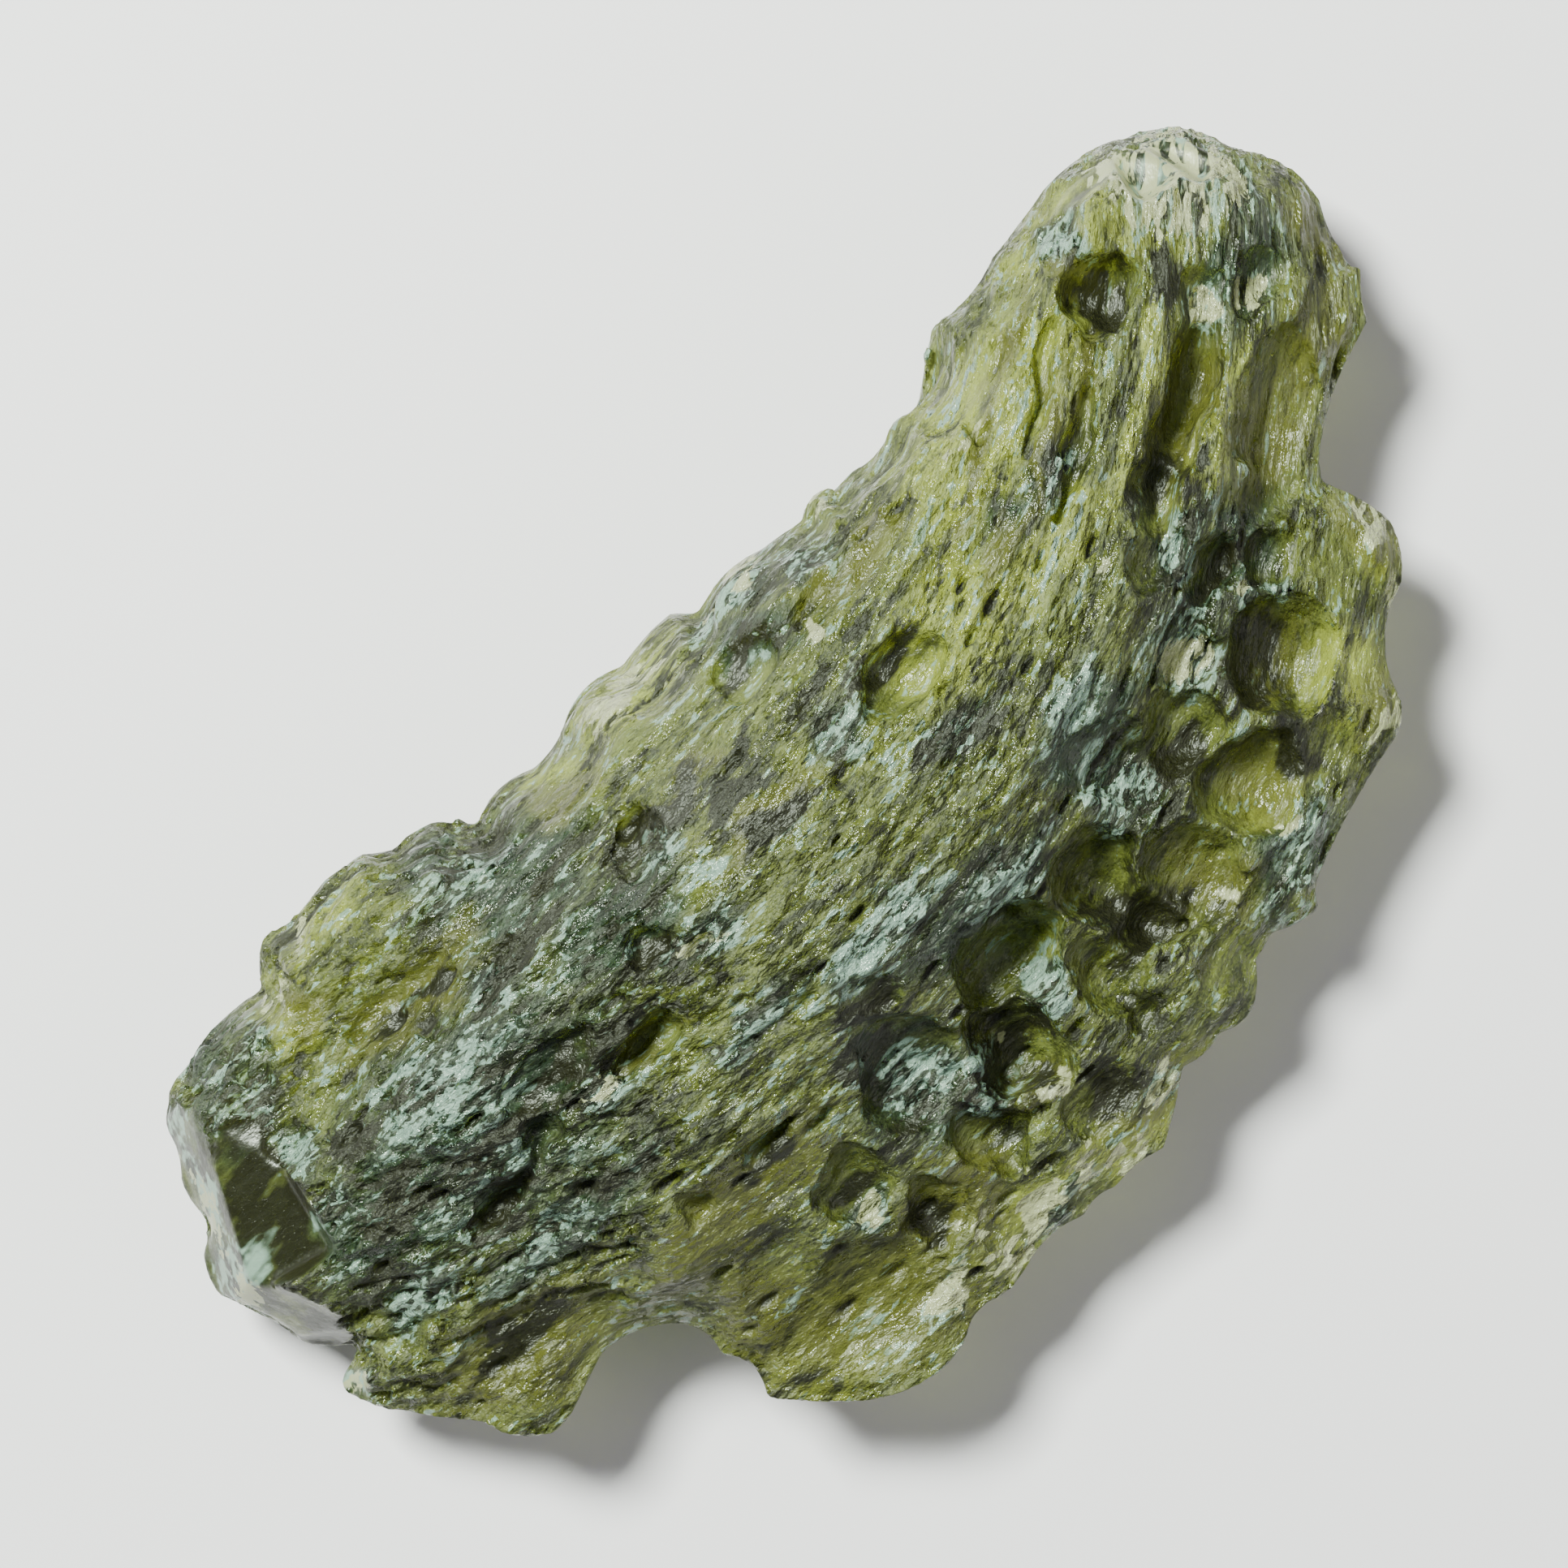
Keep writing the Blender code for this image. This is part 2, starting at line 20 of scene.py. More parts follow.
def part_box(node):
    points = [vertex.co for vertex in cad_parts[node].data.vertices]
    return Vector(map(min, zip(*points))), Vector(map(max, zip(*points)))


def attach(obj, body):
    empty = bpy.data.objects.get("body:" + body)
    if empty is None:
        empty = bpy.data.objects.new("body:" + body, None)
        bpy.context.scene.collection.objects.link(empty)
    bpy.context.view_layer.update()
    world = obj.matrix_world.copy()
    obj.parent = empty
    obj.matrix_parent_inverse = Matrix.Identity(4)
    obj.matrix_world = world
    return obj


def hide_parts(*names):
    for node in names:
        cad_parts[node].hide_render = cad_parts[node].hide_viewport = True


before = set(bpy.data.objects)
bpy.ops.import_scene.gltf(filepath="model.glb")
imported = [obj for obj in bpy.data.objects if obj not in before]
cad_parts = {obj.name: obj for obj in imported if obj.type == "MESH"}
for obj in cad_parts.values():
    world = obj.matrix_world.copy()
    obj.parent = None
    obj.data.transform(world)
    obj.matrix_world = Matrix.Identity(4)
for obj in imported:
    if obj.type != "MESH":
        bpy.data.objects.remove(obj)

NODE = "moldavite"
LOG = logging.getLogger("moldavite")

Array = np.ndarray
Colour = tuple[float, float, float]


class Tooth(NamedTuple):
    """A tooth of the rim, and how far the arc to the next tooth swells outwards. A scallop is negative."""

    x: float
    y: float
    swell: float


class Spot(NamedTuple):
    """A spot height of the upper face."""

    x: float
    y: float
    height: float


class Cup(NamedTuple):
    """A hollow in the upper face: its middle, half sizes, turn in degrees and depth."""

    x: float
    y: float
    half_length: float
    half_width: float
    turn: float
    depth: float


class Chip(NamedTuple):
    """A flat chip: a point on its upper edge, the way it faces in degrees, its slope and its reach."""

    x: float
    y: float
    height: float
    facing: float
    slope: float
    reach: float


class Foot(NamedTuple):
    """A foot of the underside and how far across its worn flat is."""

    x: float
    y: float
    across: float


class Look(Enum):
    """What a patch of the skin looks like, some of the looks being painted light or shade. Each value names
    the number kept on the mesh.
    """

    PAINTED_LIGHT = "pale"
    SHADED_SLATE = "shaded_slate"
    FROSTED = "frosted"
    PAINTED_GLINTS = "painted_glint"
    CLEAR = "clear"
    PAINTED_SHADE = "deep"


class Patch(NamedTuple):
    """A patch of the upper face with a look of its own: its middle, half sizes and turn in degrees."""

    x: float
    y: float
    half_length: float
    half_width: float
    turn: float
    look: Look


# Everything below is in millimetres on a stone of about 34 by 17 by 8 mm. The finished stone is scaled to
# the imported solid's box.

# The rim, anticlockwise from the notch below the narrow end
RIM = tuple(Tooth(*row) for row in (
    (12.48, -0.95, 0.06), (12.75, -0.65, -0.03), (13.85, 0.08, -0.05), (15.7, 0.7, -0.06),
    (16.42, 1.62, -0.1), (16.45, 2.25, -0.06), (16.92, 3.3, 0.06), (16.99, 4.5, 0.03), (16.5, 5.55, 0.1),
    (15.95, 6.75, 0.08), (15.05, 7.35, 0.05), (14.4, 7.7, 0.05), (12.95, 7.87, -0.04), (11.15, 7.65, -0.18),
    (9.15, 7.55, -0.1), (8.05, 6.65, -0.12), (7.05, 6.72, -0.17), (5.6, 6.52, 0.03), (5.0, 6.5, 0.26),
    (4.1, 6.6, 0.02), (3.0, 6.84, 0.2), (1.02, 6.84, 0.04), (0.62, 7.3, 0.06), (-0.92, 7.25, 0.29),
    (-2.85, 7.2, -0.06), (-3.9, 7.1, 0.22), (-5.6, 7.1, -0.05), (-6.15, 7.75, 0.1), (-7.2, 8.02, -0.03),
    (-7.85, 8.5, 0.09), (-9.95, 8.55, 0.15), (-11.0, 8.58, 0.03), (-11.5, 8.0, 0.2), (-13.9, 8.0, 0.05),
    (-14.65, 7.78, 0.12), (-15.2, 7.05, -0.04), (-15.7, 6.35, 0.06), (-15.9, 5.45, -0.1), (-16.5, 4.92, 0.08),
    (-16.95, 4.0, -0.03), (-16.45, 2.3, 0.04), (-16.3, 1.75, 0.04), (-15.62, 1.1, 0.02),
    (-15.66, 0.84, -0.04), (-16.12, 0.84, 0.1), (-16.5, 0.52, 0.06), (-15.95, -0.55, 0.05),
    (-14.95, -1.9, -0.05), (-14.7, -2.55, 0.08), (-13.9, -3.38, 0.08), (-13.1, -3.25, -0.5),
    (-10.35, -3.65, -0.18), (-10.15, -4.85, -0.26), (-10.1, -6.15, 0.06), (-9.95, -6.42, 0.04),
    (-8.9, -7.62, 0.12), (-7.3, -8.48, 0.08), (-6.2, -8.42, -0.18), (-5.0, -8.36, 0.03), (-4.2, -8.32, -0.17),
    (-2.5, -8.46, -0.12), (-1.6, -8.5, -0.1), (-0.3, -8.66, 0.06), (1.3, -7.7, 0.14), (2.35, -7.76, 0.08),
    (3.15, -7.96, 0.1), (4.05, -7.22, 0.05), (4.7, -7.06, 0.08), (5.82, -7.46, -0.1), (6.4, -6.92, -0.1),
    (9.7, -6.05, 0.1), (10.4, -5.35, -0.08), (11.0, -4.45, -0.1), (12.05, -3.85, 0.14), (12.95, -2.65, 0.07),
    (12.6, -1.25, 0.02),
))

SPOTS = tuple(Spot(*row) for row in (
    # the ridge, from the narrow end to the broad one
    (16.0, 5.0, 4.9), (14.0, 5.4, 5.8), (11.5, 4.8, 6.5), (8.5, 4.4, 7.0), (5.5, 3.8, 7.5), (2.5, 3.0, 7.9),
    (-0.5, 2.6, 8.2), (-3.5, 2.4, 8.2), (-6.5, 2.6, 7.8), (-9.5, 2.8, 7.3), (-12.5, 2.8, 6.6),
    (-15.0, 2.8, 5.5),
    # its shoulder on the thick side, and the lower ledge beyond
    (9.5, 6.9, 5.9), (5.5, 6.0, 6.8), (2.0, 6.2, 6.9), (-1.5, 5.9, 7.2), (-4.5, 5.2, 7.2), (-7.5, 6.4, 5.8),
    (-10.5, 6.8, 5.0), (-13.2, 6.5, 4.7), (-0.8, 7.2, 3.5), (-4.4, 6.8, 3.8),
    # its shoulder above the flange
    (13.0, 2.6, 5.5), (10.0, 2.0, 6.5), (7.0, 1.0, 7.2), (4.0, 0.0, 7.6), (1.0, -1.0, 7.8), (-2.5, -0.8, 7.9),
    (-6.0, -1.0, 7.4), (-9.0, -0.6, 6.8), (-12.0, 0.4, 6.0), (-14.6, 1.0, 5.0),
    # the flange, from the narrow end to the broad one
    (14.8, 1.8, 4.7), (12.3, -0.4, 4.7), (11.8, -2.4, 4.7), (9.6, -4.2, 4.6), (8.0, -2.4, 5.4),
    (6.2, -5.2, 4.7), (4.6, -3.0, 5.6), (2.6, -5.8, 4.7), (1.2, -3.4, 5.8), (-1.5, -4.0, 5.8),
    (-1.2, -6.8, 4.4), (-4.4, -3.4, 5.9), (-4.5, -6.6, 4.4), (-7.2, -3.6, 5.4), (-8.0, -6.4, 4.1),
    (-11.6, -1.4, 4.7), (-13.6, -2.0, 4.0), (-15.4, 0.0, 3.8),
))

CUPS = tuple(Cup(*row) for row in (
    # bowls of the flange
    (0.4, -3.1, 1.45, 1.2, -10, 1.7), (2.8, -3.4, 1.05, 1.0, 10, 1.3), (3.0, -5.0, 0.8, 1.05, 25, 1.2),
    (1.6, -5.2, 0.8, 0.9, 0, 0.8), (-0.95, -4.7, 1.15, 1.25, 20, 1.8), (-2.9, -3.4, 1.3, 1.4, 15, 0.9),
    (4.4, -4.9, 1.15, 1.35, -10, 1.0), (6.7, -4.5, 1.35, 1.15, 10, 1.1), (9.1, -2.9, 1.45, 1.3, 20, 1.3),
    (7.7, -1.5, 0.85, 0.75, 0, 0.5), (4.9, -2.0, 0.95, 1.25, 30, 0.6), (6.3, -2.6, 1.15, 0.85, 20, 0.8),
    (1.5, -6.25, 0.6, 0.4, 0, 0.5), (-0.5, -6.8, 0.95, 0.85, 0, 0.5), (-2.6, -5.7, 1.05, 0.9, -20, 0.8),
    (10.4, -1.4, 0.75, 0.65, 0, 0.7), (9.3, -0.5, 0.95, 0.5, 15, 0.8), (11.5, -2.6, 0.95, 0.85, 40, 0.5),
    (5.6, -6.3, 1.2, 0.65, 15, 0.4), (8.3, -5.2, 1.05, 0.75, 15, 0.5), (3.6, -6.7, 0.95, 0.7, 0, 0.4),
    (10.1, -4.4, 0.75, 0.55, 30, 0.4),
    # shallow bowls of the thin lobes
    (-5.5, -4.3, 0.75, 0.75, 0, 0.7), (-4.7, -5.9, 0.85, 0.95, -20, 0.6), (-7.3, -6.3, 2.2, 1.4, -15, 0.5),
    (-3.4, -7.3, 1.2, 0.75, 0, 0.4), (-8.0, -4.6, 1.1, 0.8, 10, 0.3), (-13.0, -1.4, 1.7, 0.9, -5, 0.4),
    (-11.3, -2.0, 0.95, 0.75, 0, 0.3), (-2.3, -1.65, 0.8, 0.45, 5, 0.4), (-6.0, -2.2, 0.9, 0.4, 4, 0.5),
    (-8.1, -2.3, 0.45, 0.45, 0, 0.4),
    # troughs and pits of the narrow end
    (11.4, 2.35, 2.2, 0.75, 30, 1.2), (9.6, 1.5, 0.95, 0.6, 30, 1.1), (12.6, 0.6, 2.3, 0.85, 35, 0.9),
    (13.4, 3.7, 0.8, 0.55, 20, 0.6), (14.5, 3.1, 0.75, 0.6, 10, 0.5), (11.8, 5.3, 0.95, 0.8, 35, 1.3),
    (12.2, 6.6, 0.65, 0.6, 0, 0.4), (8.8, 0.5, 1.05, 0.55, 20, 0.7), (15.2, 1.7, 0.95, 0.6, 20, 0.3),
    (9.1, 3.3, 1.8, 0.32, 29, 0.5), (8.6, 5.6, 1.6, 0.35, 32, 0.4), (9.6, 4.8, 1.7, 0.3, 33, 0.4),
    # pits of the ridge
    (3.2, 2.7, 1.2, 0.82, 12, 0.8), (-6.35, 1.25, 1.1, 0.5, -8, 1.0), (-10.9, 0.95, 1.1, 0.4, 8, 0.7),
    (-4.6, 2.5, 0.65, 0.42, 0, 0.6), (-3.4, 4.3, 0.65, 0.65, 20, 0.5), (0.9, 5.2, 0.8, 0.55, 10, 0.5),
    (-8.2, 2.2, 1.4, 0.4, 4, 0.5), (-9.3, 1.3, 0.65, 0.45, 30, 0.6), (4.0, 5.1, 1.8, 0.5, 2, 0.3),
    (-9.3, 5.5, 1.6, 0.65, 0, 0.4), (-13.3, 5.0, 0.7, 0.6, 20, 0.4), (-14.2, 0.7, 0.85, 0.7, 40, 0.4),
    (-12.6, 7.0, 0.6, 0.5, 0, 0.4),
))

CHIPS = tuple(Chip(*row) for row in (
    (-15.15, 4.9, 4.9, 153, 2.3, 3.2), (-13.8, 4.6, 5.0, 165, 0.35, 1.7), (-15.7, 3.1, 4.5, 200, 1.9, 1.4),
    (-15.9, 0.6, 3.0, 150, 1.3, 0.8), (14.9, 6.0, 4.7, 80, 0.33, 0.8), (15.9, 5.6, 4.4, 100, 0.42, 0.6),
    (15.2, 6.6, 4.7, 50, 1.3, 2.2), (16.1, 4.9, 4.6, 12, 1.4, 1.6), (13.8, 7.0, 4.9, 82, 1.1, 1.8),
))

# Patches of the upper face, each by its middle, half sizes and turn.

# Painted light: pale yellow green painted where light is caught in the thin glass, and on lit crests, the
# ledge, the lobes' edges and the tip
PAINTED_LIGHT = (
    # the narrow end and the crown of the ridge
    (8.2, 5.2, 2.8, 1.2, 8), (12.6, 6.8, 1.8, 0.7, -5), (14.2, 5.6, 1.2, 0.8, 0), (4.6, 2.6, 1.6, 1.2, 20),
    (1.2, 2.9, 0.9, 0.7, 0), (7.4, 2.4, 1.2, 0.6, 10),
    # the thick side's ledge
    (-3.8, 6.3, 0.8, 0.6, 0), (-1.0, 6.7, 1.4, 0.6, 0), (-9.6, 7.9, 1.3, 0.3, 0), (-11.4, 6.9, 0.6, 0.5, 0),
    (-16.4, 4.2, 0.5, 0.9, -20),
    # the lobes and the flange
    (-8.8, -6.8, 1.1, 0.8, -45), (-3.2, -7.7, 1.8, 0.5, 0), (9.6, -4.2, 0.9, 0.8, 0),
    (12.5, -2.7, 0.5, 1.2, 0), (-0.2, -8.2, 1.4, 0.4, 15), (6.8, -5.0, 0.7, 0.6, 0),
    # crests of the long ridges, and the tip
    (10.9, 3.2, 2.2, 0.25, 30), (11.6, 1.45, 1.8, 0.35, 24), (9.4, 4.1, 1.8, 0.2, 31),
    (15.1, 5.9, 1.2, 1.0, 10),
)

# Where it is slaty grey: partly the etched skin's own grey and partly painted shade, which darkens the broad
# end
SHADED_SLATE = (
    # the broad end
    (-10.0, 2.6, 3.6, 2.2, 0), (-5.6, 5.6, 1.8, 1.2, 0), (-13.4, 6.6, 1.0, 1.1, 0), (-13.2, 2.4, 1.6, 1.4, 0),
    (-10.2, -0.4, 2.6, 0.6, 0), (-4.8, 3.4, 1.6, 1.0, 0), (-13.2, 8.0, 0.8, 0.5, 0), (-6.8, 7.4, 0.8, 0.5, 0),
    # the shoulder above the flange, and the flange
    (9.6, -0.8, 1.8, 0.6, 10), (5.0, -1.0, 1.4, 0.7, 0), (0.6, -1.8, 2.2, 0.6, 0), (-3.2, -3.8, 1.1, 1.1, 0),
    (6.4, -6.2, 1.2, 0.6, 0), (1.4, 5.4, 0.9, 0.6, 0),
    # the narrow end
    (14.6, 3.4, 1.5, 0.7, 20), (7.6, 3.4, 1.2, 0.4, 10),
)

# Where it is frosted grey
FROSTED = (
    # the broken facets of the broad end, and the lumps behind them
    (-16.1, 4.2, 1.0, 0.8, 60), (-15.3, 5.9, 1.2, 0.4, 60), (-14.9, 7.3, 0.6, 0.4, 30),
    (-16.2, 0.5, 0.5, 0.4, 0), (-13.3, 6.3, 0.8, 0.6, 40), (-13.3, 4.9, 0.5, 0.5, 0),
    (-13.6, 3.6, 0.5, 0.4, 0), (-12.5, 7.2, 0.6, 0.4, 0), (-13.8, 0.8, 1.0, 0.5, 10),
    (-10.9, -0.2, 0.9, 0.4, 0),
    # the broad end of the ridge
    (-9.9, 3.5, 1.4, 0.8, 0), (-10.7, 1.9, 1.2, 0.5, 0), (-7.6, 4.3, 1.3, 0.4, 5), (-7.6, 1.25, 0.7, 0.4, 0),
    (-4.0, 1.9, 1.0, 0.4, -5), (-6.8, 6.4, 1.2, 0.5, 0), (-3.2, 3.8, 0.5, 0.4, 0),
    # the middle of the ridge and its shoulder
    (1.3, 2.9, 0.8, 0.6, 0), (3.2, 1.1, 0.8, 0.4, 10), (-1.3, -0.9, 1.7, 0.5, 0), (1.6, -2.0, 1.4, 0.5, 5),
    (5.2, -0.3, 0.9, 0.4, 10), (-4.2, -0.2, 1.2, 0.3, 0), (1.7, 6.6, 1.4, 0.4, 0), (3.4, 5.9, 0.5, 0.4, 0),
    # the flange
    (-2.9, -3.6, 1.0, 1.0, 0), (-2.0, -4.7, 0.5, 0.6, 0), (0.4, -4.4, 0.5, 0.5, 0), (4.6, -2.4, 1.0, 1.0, 20),
    (7.7, -1.4, 0.9, 0.8, 0), (9.5, -1.7, 0.5, 0.3, 0), (-5.8, -4.9, 0.5, 0.35, 10),
    (-2.8, -7.9, 1.1, 0.3, 0), (-5.8, -7.4, 0.7, 0.3, 20), (5.4, -6.7, 0.8, 0.35, 10),
    (0.6, -7.6, 0.4, 0.3, 0), (6.6, -6.0, 0.9, 0.3, 10),
    # the narrow end
    (15.1, 6.1, 1.4, 1.2, 20), (15.6, 4.8, 0.7, 0.4, 60), (13.4, 3.6, 0.5, 0.3, 20), (14.4, 3.1, 0.4, 0.4, 0),
    (9.1, 0.3, 1.0, 0.35, 15), (12.2, 6.8, 0.5, 0.5, 0), (8.4, 3.2, 0.7, 0.25, 15),
)

# Painted glints: single facets painted near white where the key light would glint off them
PAINTED_GLINTS = (
    # the tip, the ledge and the edges of the lobes
    (15.1, 6.1, 1.6, 1.2, 20), (14.4, 6.9, 1.0, 0.6, -30), (15.5, 4.9, 0.6, 0.3, 60),
    (-1.1, 6.7, 1.4, 0.3, 0), (2.0, 6.8, 1.0, 0.2, 0), (4.5, 6.5, 0.4, 0.2, 0), (7.6, 5.2, 0.6, 0.15, 10),
    (-3.0, -7.8, 1.8, 0.6, 5), (-5.7, -7.4, 0.8, 0.35, 25), (0.7, -7.6, 0.6, 0.3, 0),
    (-4.3, -6.9, 0.5, 0.3, 0), (9.9, -5.7, 0.7, 0.25, 25), (12.6, -2.4, 0.25, 0.6, 0),
    (11.9, -3.7, 0.5, 0.2, 40), (-11.3, 7.6, 0.5, 0.3, 0), (-9.9, 8.1, 0.6, 0.3, 0),
    # single facets
    (-5.8, -4.9, 0.45, 0.25, 10), (7.6, -1.4, 0.7, 0.5, 0), (-1.1, -4.4, 0.2, 0.2, 0),
    (-7.6, 1.3, 0.5, 0.25, 0), (7.6, 1.3, 0.25, 0.2, 0), (-2.6, -7.4, 0.5, 0.3, 30),
    (-0.9, -8.2, 0.5, 0.2, 0), (14.4, 3.1, 0.4, 0.3, 0), (13.4, 3.6, 0.4, 0.25, 20), (9.5, -1.6, 0.3, 0.2, 0),
    (-4.1, 1.9, 0.6, 0.2, -5), (-15.7, 5.4, 0.3, 1.2, -20), (-16.2, 0.5, 0.4, 0.3, 0),
    (-16.2, 3.6, 0.5, 0.5, 0), (4.5, -5.7, 0.3, 0.3, 0), (6.4, -5.6, 0.3, 0.2, 0), (2.4, 4.7, 0.3, 0.15, 0),
    (-1.0, -6.0, 0.4, 0.2, 0),
)

# Where it is smoother and lets the yellow glass show
CLEAR = (
    # the thick side and the window
    (-6.2, 1.1, 0.9, 0.3, -8), (-11.0, 7.0, 0.6, 0.5, 0), (-9.1, 5.5, 2.0, 0.6, 0), (-3.8, 6.1, 0.7, 0.4, 0),
    (4.1, 5.1, 1.7, 0.4, 0), (-2.3, 4.3, 1.4, 0.4, 0), (-1.0, 2.7, 1.3, 0.4, 0), (11.9, 6.1, 0.4, 0.5, 0),
    # the troughs and the flank of the narrow end
    (11.4, 2.3, 2.2, 0.7, 28), (14.6, 1.4, 1.8, 0.8, 20), (8.8, 4.0, 1.6, 0.2, 31), (10.4, 4.4, 1.2, 0.2, 33),
    (7.4, 4.6, 1.4, 0.2, 28), (9.8, 6.0, 1.2, 0.18, 30), (6.4, 3.0, 1.2, 0.2, 25), (12.2, 0.5, 1.3, 0.8, 35),
    (16.2, 2.8, 0.6, 1.2, 0),
    # the flange and the lobes
    (8.9, -2.9, 1.1, 0.7, 0), (6.9, -4.6, 1.0, 0.9, 0), (4.5, -5.2, 0.9, 1.0, 0), (9.9, -5.2, 1.1, 0.5, 25),
    (-1.2, -5.8, 0.7, 0.4, 0), (-7.3, -6.6, 2.6, 1.5, -20), (-8.9, -4.9, 1.1, 1.4, 0),
    (-7.5, -2.7, 2.6, 0.8, 0), (-13.0, -1.7, 2.3, 1.1, -10), (-4.2, -6.2, 1.4, 1.0, 0),
    (0.2, -7.7, 1.6, 0.5, 0), (12.4, -2.5, 0.5, 1.2, 0),
)

# Painted shade: dark brown painted in the flake scar, the slots and pits, and on the walls of the bowls
PAINTED_SHADE = (
    # the flake scar and the slots of the broad end
    (-14.6, 4.5, 0.8, 1.8, -20), (-9.2, 5.4, 1.3, 0.15, 0), (-15.8, 1.9, 0.5, 0.5, 0),
    (-9.0, 2.05, 1.7, 0.25, 3), (-6.4, 1.6, 1.0, 0.25, -8), (-6.3, 4.2, 1.0, 0.25, 5),
    (-5.6, 5.0, 0.8, 0.2, 5), (-12.8, -1.3, 1.3, 0.3, -8), (-1.4, 3.4, 1.0, 0.25, 3),
    (-0.2, 4.1, 0.8, 0.2, 3), (-4.9, 2.4, 0.9, 0.3, 0), (-11.0, 0.95, 0.9, 0.3, 8),
    (-12.3, 4.2, 0.5, 0.4, 20), (-12.6, 2.6, 0.9, 0.5, 0),
    # pits of the ridge
    (2.9, 3.25, 0.9, 0.35, 12), (1.1, 5.3, 0.9, 0.4, 10), (-2.7, 4.3, 1.3, 0.35, 0),
    (-2.4, -1.7, 0.9, 0.3, 0), (-6.2, -2.3, 0.9, 0.3, 0), (-8.3, -0.5, 1.2, 0.3, 0), (-0.9, 2.4, 0.8, 0.3, 0),
    (2.3, 1.2, 0.6, 0.2, 0),
    # walls of the bowls
    (-1.2, -4.9, 1.0, 1.0, 20), (-0.1, -7.0, 0.6, 0.8, 0), (2.8, -4.7, 0.8, 1.2, 15),
    (8.4, -2.6, 1.0, 0.6, 10), (5.9, -2.9, 0.7, 0.4, 0), (-3.6, -2.5, 0.9, 0.3, 0), (7.9, -4.6, 0.4, 0.8, 0),
    (-4.8, -6.0, 0.4, 0.5, 0), (-5.4, -4.2, 0.5, 0.3, 0),
    # pits of the narrow end
    (9.6, 1.45, 0.9, 0.5, 20), (9.4, -0.7, 1.1, 0.35, 5), (11.8, 5.2, 0.5, 0.8, -30),
    (13.0, 4.3, 0.6, 0.4, 0),
)

PATCHES = tuple(Patch(*place, look) for look, places in (
    (Look.PAINTED_LIGHT, PAINTED_LIGHT), (Look.SHADED_SLATE, SHADED_SLATE), (Look.FROSTED, FROSTED),
    (Look.PAINTED_GLINTS, PAINTED_GLINTS), (Look.CLEAR, CLEAR), (Look.PAINTED_SHADE, PAINTED_SHADE),
) for place in places)

FEET = (Foot(-8.5, 2.9, 3.4), Foot(9.2, 3.4, 3.2), Foot(-0.6, -2.6, 3.4))


class Seed(Enum):
    """Where each random field is sampled, so that no two repeat each other."""

    RIM = 3.0
    LUMPS = 7.0
    GROOVES = 11.0
    STRIAE = 13.0
    PITS = 17.0
    PORES = 19.0
    BOWLS = 23.0
    CUP_X = 41.0
    CUP_Y = 43.0
    FOOT = 53.0
    ROUGHNESS = 61.0
    PATCH_X = 71.0
    PATCH_Y = 73.0
    FACETS = 79.0


def smoothstep(low: float, high: float, value: Array) -> Array:
    """0 below low, 1 above high and an even S between them."""
    t = np.clip((value - low) / (high - low), 0.0, 1.0)
    return t * t * (3.0 - 2.0 * t)


def swells(x: Array, y: Array, size: float, seed: Seed) -> Array:
    """Smooth noise from about -1 to 1, with hills of about this size."""
    return np.array([noise.noise(Vector((a / size, b / size, seed.value))) for a, b in zip(x, y)])


@dataclass(frozen=True)
class Flow:
    """The flow of the once molten glass, whose lines bend ever more towards the narrow end.

    Attributes:
        middle_slope: the lines' slope at the middle of the stone.
        bend: how much the slope grows per millimetre along the stone.
        twist: how much the bend grows per millimetre.
    """

    middle_slope: float = 0.052
    bend: float = 0.0327
    twist: float = 0.0033

    def across(self, x: Array, y: Array) -> Array:
        """How far each point is from the flow line through the middle."""
        return y - self.middle_slope * x - self.bend * x**2 / 2 - self.twist * x**3 / 6

    def scallops(self, points: Array, cell: float, stretch: float, seed: Seed) -> Array:
        """A field of touching cups, drawn out along the flow.

        Args:
            points: places, one to a row.
            cell: how wide a cup is.
            stretch: how much longer it is than wide.
            seed: which field.

        Returns:
            0 at a cup's floor to about 1 at the crests where cups meet.
        """
        places = self._cells(points, cell, stretch, seed)
        depth = [noise.voronoi(Vector(place), distance_metric="DISTANCE_SQUARED")[0][0] for place in places]
        return np.clip(depth, 0.0, 1.0)

    def pores(self, points: Array, cell: float, stretch: float, seed: Seed, share: float) -> Array:
        """Single pits, drawn out along the flow.

        Args:
            points: places, one to a row.
            cell: how far apart pits could be.
            stretch: how much longer they are than wide.
            seed: which field.
            share: how many of the cells hold a pit, from 0 to 1.

        Returns:
            0 outside the pits to 1 at their floors.
        """
        depth = np.zeros(len(points))
        for index, place in enumerate(self._cells(points, cell, stretch, seed)):
            distances, centres = noise.voronoi(Vector(place), distance_metric="DISTANCE")
            lot = math.fmod(abs(centres[0].x * 12.9 + centres[0].y * 78.2 + centres[0].z * 37.7), 1.0)
            if lot < share:
                depth[index] = 1.0 - distances[0] / (0.2 + 0.25 * lot / share)
        return np.clip(depth * 2.0, 0.0, 1.0)

    def facets(self, points: Array, cell: float, stretch: float, seed: Seed) -> Array:
        """A field of small flat faces, each with a tilt of its own.

        Args:
            points: places, one to a row.
            cell: how wide a face is.
            stretch: how much longer it is than wide.
            seed: which field.

        Returns:
            Heights from about -0.5 to 0.5.
        """
        height = np.empty(len(points))
        for index, place in enumerate(self._cells(points, cell, stretch, seed)):
            centre = noise.voronoi(Vector(place), distance_metric="DISTANCE")[1][0]
            height[index] = noise.cell_vector(3.1 * centre).dot(Vector(place) - centre)
        return height

    def _cells(self, points: Array, cell: float, stretch: float, seed: Seed) -> Array:
        """Places straightened along the flow and scaled so that one unit is one cell."""
        across = self.across(points[:, 0], points[:, 1])
        along = points[:, 0] / (cell * stretch)
        return np.column_stack((along, across / cell, points[:, 2] / cell + seed.value))


